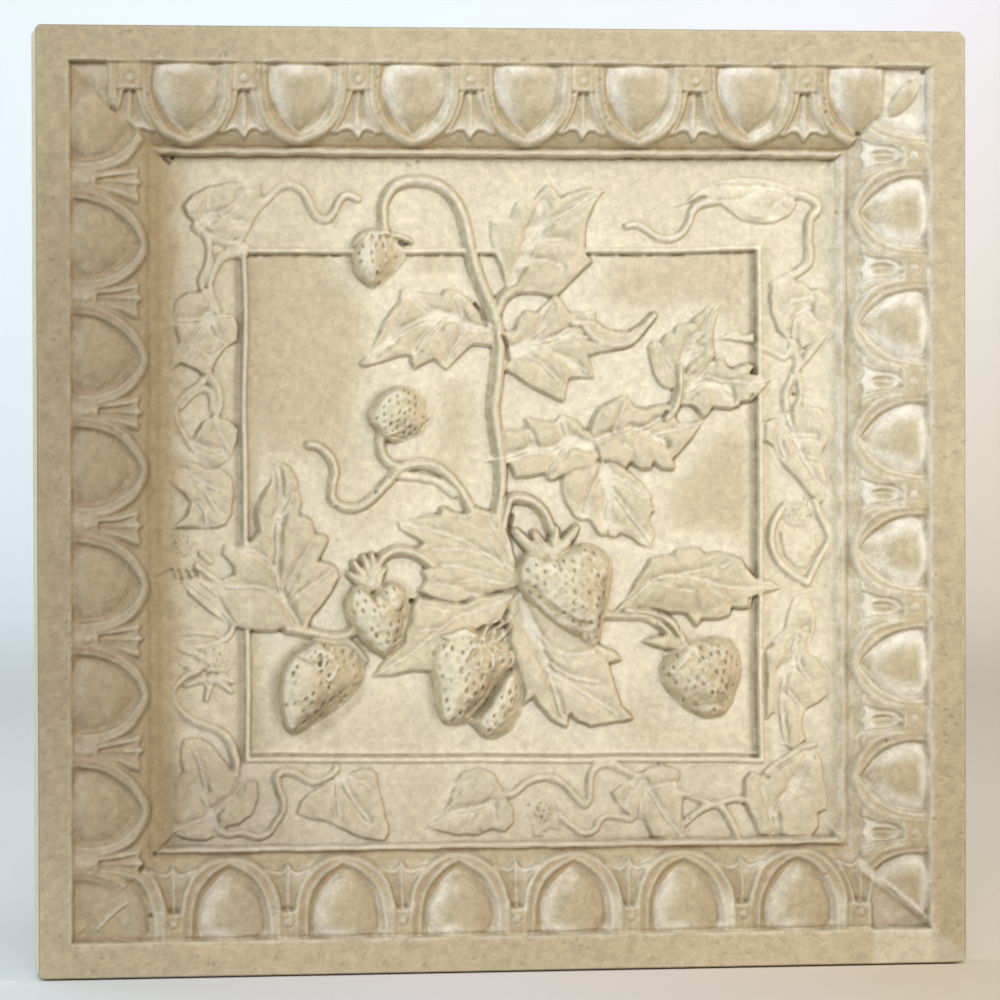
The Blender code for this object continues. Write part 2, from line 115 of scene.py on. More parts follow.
def egg_and_dart(s, t, halfway, outer, within, egg, bowl, spread, heel, free, bell):
    """Height over one egg and half the darts beside it, and how whitish and how brown it is.

    s runs along the border from the egg's middle, t inwards from the rim, and halfway is half the
    gap to the next egg. outer and within are the shell's two crests: half width, length, fullness and
    bluntness. egg is its half width, point and length; bowl the depth and run of the slope to it;
    spread the half width of the dart's foot; heel the roundness of the egg's end at the rim; free how
    far dart and block stand clear, and bell how much the dart is a bell with a hollow.
    """
    body = ovolo(t)
    d, e = arch_distance(s, t, *outer), arch_distance(s, t, *within)
    a = halfway - np.abs(s)
    # shell: two fine crests with a flat band between them, then the slope down to the egg
    shell = (0.4 + 0.45 * ramp(t, 3, 9)) * ridge(d + 0.2, 1.0) + 0.45 * ridge(e, 0.65) - 0.95
    shell = shell - 1.8 * ramp(d, 0, 2.1)
    deep, run = bowl
    height = body + shell - deep * (1 - 0.65 * ramp(-t, -3.5, -0.5)) * ramp(-e, 0.1, run)
    # block beside the pellet, flush with the rim, and the two legs it splits into
    beside = ridge(a - (halfway - outer[0]) + 0.6, 0.5)
    block = body - 0.15 - (2.6 - 2.0 * bell) * ramp(t, 8.2, BLOCK_END)
    block = block - 3.0 * ramp(-d, 0.0, 1.1) - 0.7 * free * beside
    height = np.where((t < BLOCK_END) & (d > -1.1), np.maximum(height - 0.3 * free * beside, block), height)
    inner = np.interp(t, [8.0, BLOCK_END, 13.4, 16.3, 20.0, 22.0, DARTS_END],
                      [1.3, 1.9, 2.8, 3.7, 5.4, 6.5, 6.6])
    inner = inner * (spread / 6.6)
    inner = inner + bell * (0.9 * ramp(t, 8.0, 11.0) + 0.5 * ridge(t - 13, 3))
    away = (a - inner - 0.8) / 0.9
    leg = body - 0.7 - 0.7 * np.where(away > 0, free + 0.1, 1.0) * away**2
    leg = leg - 2.6 * ramp(t, 21.8, DARTS_END)
    leg = np.where((away > -1.2) & (away < 1.2 + 3 * (1 - free)) & (t > 7.6) & (d > 0.4), leg, -9)
    height = np.maximum(height, leg)
    # dart between the legs: a stem, two sloping faces and a foot with three points; or a bell with a hollow
    foot = 21.4 + (0.4 + 0.6 * free) * (2.8 * ridge(a, 1.3) + 1.2 * ramp(a, inner - 2.2, inner))
    dart = body - 2.5 + 1.0 * ridge(a, 0.65) + 1.1 * ramp(t, 14, 21) * (1 - 0.5 * a / inner)
    dart = dart + 0.7 * ridge(t - foot + 0.9, 0.9) - 0.5 * ridge(t - BLOCK_END, 0.8)
    lens = ramp(1.0 - np.hypot(a / 1.9, (t - 15.2) / 4.4), -0.15, 0.35)
    bulb = body - 1.3 - 1.7 * lens + 0.8 * ridge(a, 0.4) * lens - 1.0 * ridge(inner - a - 0.5, 0.7)
    dart = dart + bell * (bulb - dart)
    on = ramp(inner - a, -0.35, 0.35) * ramp(foot - t, -0.35, 0.35) * ramp(t, 8.4, 9.3)
    height = height * (1 - on) + dart * on
    # egg, with a soft keel
    wide, point, length = egg
    back = np.sqrt(np.clip(1 - (np.clip(EGG_LINE - t, 0, None) / heel) ** 2, 0, 1))
    front = 1 - np.clip((t - EGG_LINE) / length, 0, 1) ** point
    half = wide * np.where(t < EGG_LINE, back, front)
    x = np.abs(s) / np.maximum(half, 0.05)
    crown = 0.85 * np.clip(1 - x**2.2, 0, 1) ** 0.6 + 0.15 * np.clip(1 - x, 0, 1)
    swell = body - 3.3 + 3.8 * crown * (half / wide) ** 0.5 - 1.3 * ramp(t, 12, 23)
    height = np.where(x < 1, np.maximum(height, swell), height)
    rim_end = ramp(-t, -EGG_LINE, -1.6)
    white = np.maximum(ramp(x, 0.3, 0.95), rim_end) * (x < 1)
    white = white + on * (ramp(t, 16, 20) * 0.6 + 0.3 * bell * (1 - lens))
    brown = ramp(x, 0.95, 1.05) * ramp(-d, -0.2, 0.6) + (1 - white) * (x < 1) * ramp(t, 15, 22)
    # pellet
    r = np.hypot(a, t - EGG_LINE)
    height = height + 0.5 * np.sqrt(np.clip(1 - (r / 1.2) ** 2, 0, 1)) - 0.35 * ridge(r - 1.7, 0.5)
    return height, white, brown


# middles of the eggs along each side, how far the groove under the rim reaches, and the carver's shapes
TOP = [-139.6, -102.8, -66.0, -29.2, 7.6, 44.4, 81.2, 118.0]
BOTTOM = [-127.0, -89.6, -52.4, -15.2, 22.2, 59.4, 96.9, 138.5]
LEFT = [-134.5, -98.2, -61.7, -26.2, 10.9, 46.8, 83.6, 121.2]
RIGHT = [-128.3, -91.3, -54.4, -17.4, 19.5, 56.5, 93.4, 130.2]
SIDES = {
    "top": (TOP, 0.45, dict(
        outer=(14.0, 25.6, 4.6, 1.25), within=(12.3, 24.6, 4.2, 1.25), egg=(10.9, 2.1, 17.8),
        bowl=(2.1, 3.0), spread=6.6, heel=12, free=1, bell=0)),
    "bottom": (BOTTOM, 0.5, dict(
        outer=(16.0, 25.8, 3.6, 1.7), within=(13.2, 24.2, 3.4, 1.3), egg=(10.7, 2.3, 17),
        bowl=(2.0, 2.4), spread=6.4, heel=12, free=0.7, bell=0)),
    "left": (LEFT, 1.6, dict(
        outer=(15.6, 24.7, 2.9, 1.4), within=(13.4, 23.5, 2.8, 1.3), egg=(11.6, 2.0, 16.8),
        bowl=(1.5, 1.5), spread=3.4, heel=8, free=0.5, bell=0)),
    "right": (RIGHT, 1.0, dict(
        outer=(14.3, 24.6, 4.6, 1.4), within=(12.6, 23.6, 3.2, 1.15), egg=(11.3, 2.0, 17.5),
        bowl=(1.9, 1.9), spread=4.6, heel=7, free=0.1, bell=1)),
}


def worn_and_side_lit(name, middle, s, t, unit, pale, dull):
    """How whitish and how brown a side is: painted light and shade on the flanks by the way they face, and
    some grime; middle runs from an egg's middle, s over the side.
    """
    if name == "top":
        # painted light and shade: the left half of each unit keeps its white and brown, the right loses its
        # brown and half its white
        pale = pale * (0.5 + 0.5 * ramp(-middle, -2, 2))
        dull = np.maximum(dull * ramp(-middle, -2, 3), 0)
    elif name == "bottom":
        # painted shade to the right of each egg, and whiter low on that flank
        flank = dull * ramp(middle, 5, 8) * ramp(-t, -16, -8) * (0.5 + 0.4 * ramp(s, 0, 90))
        pale = pale * (0.15 + 0.85 * ramp(-middle, -3, 4))
        right_shade = (t > 1) * 0.7 * ramp(middle, 2, 7) * (1 - pale)
        dull = np.maximum(dull * ramp(-middle, -2, 3), right_shade) * (1 - flank)
        pale = np.maximum(pale, flank) * 0.8
    elif name == "left":
        # a painted highlight on the lower crests only, which face up to the light
        crested = 0.35 * ramp(-middle, 8, 11) * ramp(unit - ovolo(t), -1.3, -0.6)
        pale = np.maximum(np.minimum(pale * 0.12, 1), crested)
        dull = dull * 0.6
    else:
        # painted shade kept only on the upper flank of each unit, and whiter all over
        pale = np.minimum(pale * 1.25, 1)
        dull = dull * (0.45 * ramp(middle, -2, 3))
    pale = pale * ramp(t, 0.3, 1.2)
    dull = dull * ramp(t, 0.3, 1.2) * (1 - ramp(t, 24, 25.5))
    if name == "top":
        # grime and painted shade under the feet of the darts
        under = ramp(t, 22.3, 23.3) * (1 - ramp(t, 25.8, 27)) * ramp(np.abs(middle), 5, 10)
        dull = np.maximum(dull, 0.8 * under)
    return pale, dull


def footed(name, unit, t):
    """A side's units run out into its foot: channel and bead above and below, a channel at the ends."""
    if name in ("top", "bottom"):
        unit = np.maximum(unit * (1 - ramp(t, 26.2, 27.4)), 2.7)
        bead = 4.2 - 0.55 * (t - 28.3) ** 2
        unit = np.where(t > 27.2, np.maximum(unit, bead), unit)
        return unit * (1 - ramp(t, 29.1, PANEL_EDGE))
    unit = np.maximum(unit * (1 - ramp(t, 25.5, 27.5)), 2.9)
    if name == "right":
        unit = np.where(t > 26.4, unit + 0.9 * ridge(t - 27.4, 0.9), unit)
    return unit * (1 - ramp(t, 28.3, 29.3))


def coves(height, u, v, uu):
    """The coves that stand in for the bead at the left and right."""
    for side, level, width in ((-1, 3.3, 10.5), (1, 3.0, 7.0)):
        d = INNER - 28.0 - side * uu
        cove = level * np.clip(1 - np.clip(d, 0, width) / width, 0, 1) ** 1.6
        zone = (side * u > np.abs(v) - 1.5) & (d > -1.8) & (d < width)
        cove = cove * ramp(side * u - np.abs(v), -1.5, 0.8)
        height = np.where(zone, np.maximum(height, cove), height)
    return height


def corners(height, white, brown, u, v, t):
    """The corners, plain with worn lumps where the master was patched."""
    # a round lump at the upper left
    lump = 8.0 - 0.05 * (u + 140) + 1.9 * ridge(np.hypot((u + 131.6) / 4.4, (v - 135.4) / 4.6), 1.0)
    k = ramp(v, 128.6, 131.2) * ramp(-u, 128.0, 130.0) * ramp(-u + 131 - v, -9.0, -7.0)
    height = height * (1 - k) + lump * k
    # a long one on the mitre at the upper right, in bare cement
    along = (u - 132.4) * 0.64 + (v - 130.8) * 0.77
    across = (u - 132.4) * 0.77 - (v - 130.8) * 0.64
    lump = 8.2 + 2.4 * np.clip(1 - (along / 8.0) ** 2 - (across / 3.4) ** 2, 0, 1) ** 0.7
    k = ramp(v, 121.0, 124.0) * ramp(u, 124.2, 127.2) * ramp(t, 0.0, 0.4)
    height = height * (1 - k) + lump * k
    white = np.maximum(white * (1 - k), 0.95 * k * (lump < 8.6))
    brown = brown * (1 - k)
    # uneven plain ground at the lower right
    k = ramp(u, 120.5, 122.5) * ramp(-v - 0.86 * u, 18.0, 19.5)
    height = height * (1 - k) + (7.6 + 0.5 * waves(u, v, 5, 57)) * k
    white = np.maximum(white * (1 - k), 0.35 * k)
    brown = brown * (1 - k)
    # and a half-filled corner at the lower left
    k = ramp(-u, 119.0, 127.0) * ramp(-v, 117.0, 125.0)
    height = height * (1 - 0.75 * k) + 7.9 * 0.75 * k
    return height, white * (1 - k), brown * (1 - k)


def moulding(u, v):
    """Heights of the border with its rim, and how whitish and how brown it is."""
    height, white, brown = np.zeros_like(u), np.zeros_like(u), np.zeros_like(u)
    reach = np.maximum(np.abs(u), np.abs(v))
    t = INNER - reach
    hand = np.random.default_rng(3)
    # the carver's lines wander a little
    uu, vv = u + 0.3 * waves(u, v, 6, 51), v + 0.3 * waves(u, v, 6, 52)
    for name, outwards, across, along in (
        ("top", v, vv, uu), ("bottom", -v, -vv, uu), ("left", -u, -uu, vv), ("right", u, uu, vv),
    ):
        eggs, groove, shape = SIDES[name]
        eggs = np.array(eggs)
        here = (outwards >= reach - 1e-6) & (t > -0.6) & (t < 31)
        s, depth = along[here], np.maximum(INNER - across[here], 0)
        number = np.abs(s[:, None] - eggs[None, :]).argmin(1)
        middle = s - eggs[number]
        gaps = np.pad(np.diff(eggs), 1, mode="edge") / 2
        halfway = np.where(middle > 0, gaps[number + 1], gaps[number])
        # no two units are alike: each leans and stands up by chance, and all at the left lean one way
        lean = hand.uniform(-0.03, 0.03, len(eggs))[number] + (0.05 if name == "left" else 0)
        leaning = middle + lean * (depth - 8) * ramp(halfway - np.abs(middle), 1, 6)
        unit, pale, dull = egg_and_dart(leaning, depth, halfway, **shape)
        white[here], brown[here] = worn_and_side_lit(name, middle, s, depth, unit, pale, dull)
        unit = unit + 0.3 * hand.uniform(-1, 1, len(eggs))[number] * ramp(halfway - np.abs(middle), 4, 9)
        # the groove under the rim, then the foot
        cut_in = 0.35 + 0.35 * ramp(halfway - np.abs(middle), 3, 5)
        unit = unit - ridge(depth - groove, groove) * cut_in
        height[here] = footed(name, unit, depth)
    height = coves(height, u, v, uu)
    height, white, brown = corners(height, white, brown, u, v, t)
    # the rim's inner wall; at the left and right it stands a little further in
    upright = np.abs(u) > np.abs(v)
    foot = np.where(upright, 1.25, 0.2)
    slope = np.where(upright, np.where(u < 0, 2.0, 1.2), 0.6) + 0.2 * waves(u, v, 4, 53)
    k = ramp(foot - t, 0.0, slope)
    height = np.where(t < 1.5, height * (1 - k) + RIM_RISE * k, height)
    return height, white, brown


# ---------------------------------------------------------------------------
# The modelled ornament: stalks, leaves and strawberries built up in clay over the panel before the
# mould was taken. Each is laid over what was there, from its outline, its crest and its veins.
# The tables also keep where grime, bloom, pale rubbed crests and painted shade lie.
def line_distance(u, v, line):
    """Distance to a run of straight lines."""
    nearest = np.full(u.shape, 1e9)
    for (au, av), (bu, bv) in zip(line, line[1:]):
        du, dv = bu - au, bv - av
        k = np.clip(((u - au) * du + (v - av) * dv) / (du * du + dv * dv + 1e-9), 0, 1)
        nearest = np.minimum(nearest, (u - au - k * du) ** 2 + (v - av - k * dv) ** 2)
    return np.sqrt(nearest)


def edge_distance(u, v, outline):
    """Distance to a closed outline, positive inside it."""
    closed = outline + outline[:1]
    inside = np.zeros(u.shape, bool)
    for (au, av), (bu, bv) in zip(closed, closed[1:]):
        if bv - av:
            inside ^= ((av > v) != (bv > v)) & (u < au + (bu - au) * (v - av) / (bv - av))
    return np.where(inside, 1, -1) * line_distance(u, v, closed)


def curve(points, gap):
    """A smooth run through the points (Catmull-Rom), in steps of about gap mm."""
    p = np.array([points[0]] + list(points) + [points[-1]], float)
    out = []
    for a, b, c, d in zip(p, p[1:], p[2:], p[3:]):
        n = max(2, int(np.hypot(*(c - b)[:2]) / gap))
        k = (np.arange(n) / n)[:, None]
        out.append(0.5 * (2 * b + (c - a) * k + (2 * a - 5 * b + 4 * c - d) * k**2
                          + (3 * b - a - 3 * c + d) * k**3))
    return np.vstack(out + [p[-1:]])


def field(step):
    """Places (u, v) over the whole face, step mm apart."""
    ticks = np.linspace(-HALF, HALF, int(round(SIDE / step)) + 1)
    return np.meshgrid(ticks, ticks)


class Relief:
    """Heights over the face, with tables of the wear, dirt and painted light and shade that each thing
    brings.
    """

    def __init__(self, step):
        self.step = step
        self.u, self.v = field(step)
        self.h, self.white, self.brown = moulding(self.u, self.v)
        self.t = INNER - np.maximum(np.abs(self.u), np.abs(self.v))
        self.pale = np.zeros_like(self.h)
        self.pitted = np.zeros_like(self.h)
        self.painted_cool_light = np.zeros_like(self.h)
        self.painted_warm_light = np.zeros_like(self.h)

    def window(self, points, margin):
        """The part of the tables round some points."""
        p = np.array(points)[:, :2]
        low, high = p.min(0) - margin, p.max(0) + margin
        n = self.u.shape[0]
        i0, j0 = np.clip(((low + HALF) / self.step).astype(int), 0, n)
        i1, j1 = np.clip(((high + HALF) / self.step).astype(int) + 2, 0, n)
        return slice(j0, j1), slice(i0, i1)

    def tone(self, outline, amount, soft=1.5):
        """Brown that lies over part of a piece, softly bounded: grime, and in places painted shade."""
        w = self.window(outline, soft + 1)
        d = edge_distance(self.u[w], self.v[w], list(outline))
        self.brown[w] = np.maximum(self.brown[w], amount * ramp(d, -soft, soft))

    def warped(self, w, amount, seed=5):
        """Places in a window, shaken a little so that no line is ruled."""
        u, v = self.u[w], self.v[w]
        return (u + amount * waves(u, v, 2.6, seed), v + amount * waves(u, v, 2.6, seed + 1))

    def leaf(self, outline, veins=(), edge=1.2, crown=0.9, lean=(0, 0), wall=0.6,
             rib=1.2, fold=1.8, swell=0.6):
        """A leaf with ribs along its veins and folds beside them.

        edge is its height along the outline and crown what it gains within, lean its slope to the right
        and upwards, wall how wide its wall is, rib and fold how far the veins stand up and how deep the
        leaf sinks beside them, and swell how uneven it is. The first vein is the strongest.
        """
        w = self.window(outline, 2.5)
        u, v = self.warped(w, 0.22)
        d = edge_distance(u, v, list(outline))
        cu, cv = np.mean(np.array(outline), 0)
        top = edge + crown * (1 - np.exp(-np.maximum(d, 0) / 1.8)) + lean[0] * (u - cu) + lean[1] * (v - cv)
        top = top + ramp(d, 0.3, 2.5) * swell * (waves(u, v, 5.5, 61) + 0.6 * waves(u, v, 2.4, 62))
        pale = np.zeros_like(u)
        for k, vein in enumerate(veins):
            line = curve(vein, 2.0)
            away = line_distance(u, v, [tuple(q) for q in line])
            strength = 0.8 if k else 1.0
            uneven = 1 + 0.35 * waves(u, v, 3.5, 63)
            beside = np.roll(away, (1, -3), axis=(0, 1))
            top = top - strength * fold * ridge(away, 1.9) + strength * rib * uneven * ridge(away, 0.5)
            top = top - 0.35 * strength * ridge(beside, 0.4)
            pale = np.maximum(pale, strength * uneven * ridge(away, 0.5) * (d > 0.2))
        top = np.maximum(top, 0.35)
        # the walls stand steep on the right and lean out on the left
        shift = int(round(0.75 / self.step))
        leftward = np.maximum(d, np.roll(d, -shift, axis=1))
        self.pale[w] = self.pale[w] * (d < 0) + pale
        cover = 0.6 * ramp(d, -wall, wall * 0.4) + 0.4 * ramp(leftward, -wall, wall * 0.5)
        ground = self.h[w]
        self.h[w] = ground + np.maximum(top - ground, 0) * cover - 0.18 * ridge(d + 0.75, 0.4)

    def stem(self, points, r0, r1=None, rise=None, base=0.0, over=False):
        """A round stalk or tendril from radius r0 to r1, its crest leaning to the right.

        rise is its own height and base the height it starts from; over lays it on what is there.
        """
        r1 = r0 if r1 is None else r1
        line = curve(points, 0.5)
        radii = np.linspace(r0, r1, len(line)) + (0.0 if over else 0.45)
        w = self.window(line, max(r0, r1) + 1.8)
        u, v = self.warped(w, 0.15, 21)
        top = np.full(u.shape, -9.0)
        away = np.full(u.shape, 9.0)
        step = self.step
        for (pu, pv), r in zip(line - ([0, 0] if over else [0.3, 0]), radii):
            reach = r + 1.2
            i0 = max(int((pu - reach - u[0, 0]) / step), 0)
            j0 = max(int((pv - reach - v[0, 0]) / step), 0)
            n = int(2 * reach / step) + 3
            part = (slice(j0, j0 + n), slice(i0, i0 + n))
            far = np.hypot(u[part] - pu, v[part] - pv)
            q = far / r
            side = 1 + 0.5 * ((u[part] - pu) + 0.3 * (v[part] - pv)) / r
            lift = (rise or 0.8 * r) * side * np.clip(1 - q**2, 0, 1) ** 0.85 + np.where(q < 1, base, -9)
            top[part] = np.maximum(top[part], lift)
            away[part] = np.minimum(away[part], far - r)
        ground = self.h[w]
        crest = ramp(top, 0.86 * top.max(), 0.97 * top.max())
        self.pale[w] = self.pale[w] * (top < ground) + 0.6 * crest * (top > -5)
        if over:
            self.h[w] = np.where(top > -5, ground + np.maximum(top, 0), ground)
        else:
            self.h[w] = np.maximum(ground, top) - np.where(top > ground, 0, 0.25 * ridge(away - 0.25, 0.4))

    def mound(self, outline, crest, steep=0.85, soft=1.5, toward=(1.0, -0.15), lumps=0.3, seed=0):
        """A swelling that falls from a crest line (u, v, height) to its outline.

        It falls gently on the side that toward points to, by the power soft, and by steep elsewhere.
        """
        rim = [tuple(q) for q in curve(list(outline) + [outline[0]], 1.2)]
        w = self.window(rim, 1.5)
        u, v = self.warped(w, 0.3, 11 + seed)
        d = edge_distance(u, v, rim)
        line = curve(crest, 0.6)
        c = np.full(u.shape, 1e9)
        level, side = np.zeros(u.shape), np.zeros(u.shape)
        length = math.hypot(*toward)
        for pu, pv, high in line:
            far = np.hypot(u - pu, v - pv)
            closer = far < c
            c = np.where(closer, far, c)
            level = np.where(closer, high, level)
            facing = ((u - pu) * toward[0] + (v - pv) * toward[1]) / (length * (far + 0.8))
            side = np.where(closer, facing, side)
        q = c / (c + np.maximum(d, 0) + 1e-6)
        power = steep + (soft - steep) * ramp(side, -0.1, 0.9)
        top = level * np.clip(1 - q**2, 0, 1) ** power
        uneven = waves(u, v, 3.2, 71 + seed) + 0.4 * waves(u, v, 1.4, 72 + seed)
        top = top + lumps * ramp(d, 0.3, 2.0) * uneven
        ground = self.h[w]
        new = np.maximum(ground, top)
        self.h[w] = np.where(d > 0, new, ground) - np.where(d > 0, 0, 0.06 * ridge(d + 0.4, 0.5))
        self.pale[w] = self.pale[w] * (d < 0)
        self.last = (w, u, v, rim)

    def bud(self, crown, tip, radius, rise, seed=0):
        """A small low berry between two places."""
        du, dv = tip[0] - crown[0], tip[1] - crown[1]
        outline = []
        for k in range(14):
            turn = 2 * math.pi * k / 14
            x, y = 0.5 - 0.5 * math.cos(turn), math.sin(turn) * (1 - 0.25 * math.cos(turn) ** 2)
            outline.append((crown[0] + du * x - dv * y * radius / math.hypot(du, dv),
                            crown[1] + dv * x + du * y * radius / math.hypot(du, dv)))
        levels = ((0.3, 0.9), (0.5, 1), (0.75, 0.8))
        crest = [(crown[0] + du * k, crown[1] + dv * k, rise * f) for k, f in levels]
        self.mound(outline, crest, soft=0.8, lumps=0.12, seed=seed)
        self.pits((du, dv), 1.9, 0.4, seed=seed, size=0.4, clear=0.6)

    def pits(self, along, spacing=3.1, depth=0.85, seed=0, keep=0.8, size=0.55, clear=1.1):
        """Seed pits over the last mound, in staggered uneven rows along a direction."""
        w, u, v, rim = self.last
        length = math.hypot(*along)
        au, av = along[0] / length, along[1] / length
        points = np.array(rim)
        mid = points.mean(0)
        rng = np.random.default_rng(100 + seed)
        count = int(np.ptp(points, axis=0).max() / spacing) + 2
        for i in range(-count, count + 1):
            for j in range(-count, count + 1):
                a = (i + rng.uniform(-0.22, 0.22)) * spacing
                b = (j + 0.5 * (i % 2) + rng.uniform(-0.22, 0.22)) * spacing * 1.05
                pu, pv = mid[0] + a * au - b * av, mid[1] + a * av + b * au
                stretch, deep = rng.uniform(1.4, 2.4), depth * rng.uniform(0.6, 1.4)
                if rng.uniform() > keep or edge_distance(np.array([pu]), np.array([pv]), rim)[0] < clear:
                    continue
                x, y = (u - pu) * au + (v - pv) * av, -(u - pu) * av + (v - pv) * au
                r = np.hypot(x / stretch, y) / (0.85 * size)
                self.h[w] += -deep * np.exp(-(r**2)) + 0.16 * ridge(r - 1.9, 0.7)
                self.pitted[w] = np.maximum(self.pitted[w], rng.uniform(0.0, 0.75) * ramp(-r, -1.1, -0.5))

    def cut(self, points, width, depth):
        """A gap or a crack along the points; between two equal points, an air hole."""
        line = curve(points, 0.8) if len(points) > 2 else np.array(points, float)
        w = self.window(line, width + 1)
        away = line_distance(*self.warped(w, 0.12), [tuple(q) for q in line])
        self.h[w] = self.h[w] - depth * (1 - ramp(away, width * 0.3, width))


STEP = 0.25  # mm between the places where the relief is worked out
relief = Relief(STEP)
leaf = relief.leaf
stem = relief.stem
mound = relief.mound
bud = relief.bud
pits = relief.pits
cut = relief.cut
tone = relief.tone
window = relief.window


# ---------------------------------------------------------------------------
# The panel: an inner field, a little pillowed and sunk, inside a thin ruled line with a shadow
# strip pressed along it. Part of the same casting.
def band_and_field(relief):
    """The panel's own surface, with the line frame's four sides where they were ruled by hand."""
    u, v, t = relief.u, relief.v, relief.t
    panel = t > PANEL_EDGE
    uneven = 0.35 * waves(u, v, 23, 1)
    left = -83.7 + 0.5 * waves(np.full_like(u, 3), v, 30, 7) + 0.9 * ramp(-v, 20, 60)
    right = 86.2 + 0.4 * waves(np.full_like(u, 9), v, 30, 8) - 0.5 * ramp(v, 0, 60)
    top = 80.7 + 0.35 * ramp(u, -30, 60) + 0.8 * ramp(u, 55, 86)
    top = top + 0.15 * waves(u, np.full_like(v, 3), 12, 9)
    bottom = -83.6 - 0.013 * (u + 84) + 0.35 * waves(u, np.zeros_like(v), 16, 10)
    du = np.minimum(u - left, right - u)
    dv = np.minimum(top - v, v - bottom)
    d = np.minimum(du, dv)  # positive inside the line frame
    dip = -0.75 * ramp(d, 0.3, 1.6) * (1 - 0.75 * ramp(d, 2.5, 13))
    rib = 1.05 * (1 - ramp(np.abs(d), 0.55, 1.25)) - 0.45 * ridge(d - 1.35, 0.4)
    strip = -0.5 * ramp(dv, -3, 1) * (ridge(u - left + 2.2, 1.3) + ridge(right - u - 2.4, 1.3))
    torn = ramp(waves(u, v, 1.6, 12) + 0.3 * ramp(u, -30, 40), -0.2, 0.5)
    ragged = -0.7 * torn * ridge(top - v - 1.5, 0.55)
    second = 0.65 * ridge(v - bottom - 2.2, 0.5)
    out = uneven * ramp(t, 30, 37) + dip + rib + strip + (ragged + second) * ramp(du, 0.0, 2.0)
    relief.h = np.where(panel, relief.h + out, relief.h)
    # painted shade beside the line frame: cool on the left of each upright side, warm on the right and just
    # above the foot line
    along = ramp(dv, -3, 1) * panel
    relief.painted_cool_light = along * (0.8 * ridge(u - left + 2.3, 1.3) + 0.9 * ridge(right - u - 2.2, 1.4))
    relief.painted_warm_light = along * (0.8 * ridge(u - left - 2.4, 1.6) + 0.7 * ridge(right - u + 2.6, 1.5))
    relief.painted_warm_light = relief.painted_warm_light + 0.8 * ridge(v - bottom - 1.2, 0.55) * ramp(du, 0.0, 2.0)
    lines = np.maximum(1 - ramp(np.abs(d), 0.3, 0.8), ridge(v - bottom - 2.2, 0.6) * ramp(du, 0.0, 2.0))
    relief.pale = np.maximum(relief.pale, 0.7 * lines * panel)


band_and_field(relief)


# ---------------------------------------------------------------------------
# The vine round the line: leaves, tendrils, flowers and buds in very low relief, worn soft at the
# left by the mould's age. It runs down the left, along the foot and up the right.
flat = dict(edge=1.45, crown=0.75, wall=0.38, rib=1.05, fold=1.5, swell=0.45)
# top left corner
leaf([(-77.6, 106.2), (-79.5, 103.8), (-84.4, 102.3), (-88.2, 102.8), (-92, 101.5), (-95.7, 100.8),
      (-100.3, 98.5), (-103, 95.2), (-101.8, 92), (-99, 89.4), (-95.8, 87.8), (-92, 85.2),
      (-88.2, 84.2), (-85, 84.8), (-82.6, 88.2), (-79.8, 92), (-78.5, 95.7), (-78.3, 100.4)],
     [[(-97.6, 89.9), (-94.8, 91.3), (-90.2, 93.2), (-86.5, 95.5), (-84.1, 99.3), (-79, 104.8)],
      [(-95.6, 96.5), (-95.6, 93.2), (-94.8, 91.3)], [(-92, 92.4), (-88.5, 90), (-84.5, 89.5)]],
     **flat)
stem([(-85.5, 83.5), (-82, 90), (-79.5, 94), (-76, 97.5), (-72, 101), (-68.5, 102), (-65, 100.5),
      (-62.5, 96.5), (-60, 92), (-57, 90.8), (-54.5, 93), (-52.5, 97), (-50, 98.8), (-46.5, 97.5)],
     1.4, 0.9, 1.2)
stem([(-99, 88.3), (-95.5, 85.5), (-90, 84), (-85.5, 82), (-83, 81.6)], 1.3, 1.3, 1.2)
stem([(-84, 80), (-88, 79.8), (-91.5, 78), (-94, 74), (-95, 69.5), (-94, 65), (-92.5, 61)], 1.6, 1.3,
     1.3)
stem([(-96, 86), (-94.7, 81), (-95.8, 75), (-97.6, 70.5), (-96, 66.8), (-94.2, 62)], 0.9, 0.8, 0.9)
# left band
leaf([(-107, 59.5), (-106, 64.5), (-102, 67.3), (-97, 67), (-94.8, 64), (-93.8, 61), (-90.5, 60.5),
      (-87, 59.8), (-85.8, 56), (-86.3, 51.8), (-90, 49.5), (-93, 45.5), (-95, 40), (-99.5, 42.6),
      (-104.2, 44.8), (-108.5, 41.3), (-107.5, 47), (-104.5, 51), (-106, 56)],
     [[(-94.5, 60.8), (-98, 55), (-103.5, 48)], [(-95.5, 59.5), (-92.8, 54)],
      [(-105, 58.3), (-98, 58.5), (-88, 60)], [(-97, 46), (-91, 51)]],
     **flat)
stem([(-95.3, 41), (-98.5, 37), (-103.5, 33.5), (-106, 29.5), (-105.3, 25), (-103, 21), (-101, 17.5)],
     1.1, 0.9, 1.1)
stem([(-104, 30.5), (-100.5, 34.3), (-96, 36), (-94, 33), (-94, 29.5)], 0.8, 0.8, 0.8)
stem([(-95, 40.5), (-92.3, 36.5), (-91.7, 31), (-93.2, 26.5)], 1.3, 1.1, 1.0)
leaf([(-93.5, 27), (-88.5, 25.8), (-86, 23), (-86.6, 19), (-88.5, 14), (-92, 11.5), (-97, 12.5),
      (-101, 17), (-99, 22.5), (-96.5, 25.8)],
     [[(-99.5, 18), (-96, 16.3), (-92, 16.2)], [(-99.5, 14), (-96, 11.4), (-91, 10.2)],
      [(-94, 25.5), (-91, 20), (-89, 15)]],
     **flat)
leaf([(-112, 8.4), (-108, 6.2), (-104, 3.2), (-101, -0.5), (-102.8, -5), (-107.5, -8.6), (-102, -8.2),
      (-97, -8.8), (-93, -8.3), (-90, -7.5), (-88.3, -4), (-87.5, 2), (-88, 7.5), (-91, 10.5),
      (-96, 10.3), (-100, 12.6), (-104, 13), (-108.5, 11)],
     [[(-99, -1), (-96.8, -4), (-96.5, -8)], [(-104, 10), (-98, 6), (-92, 3)],
      [(-98, 5), (-94, -2), (-91, -5.5)]],
     **flat)
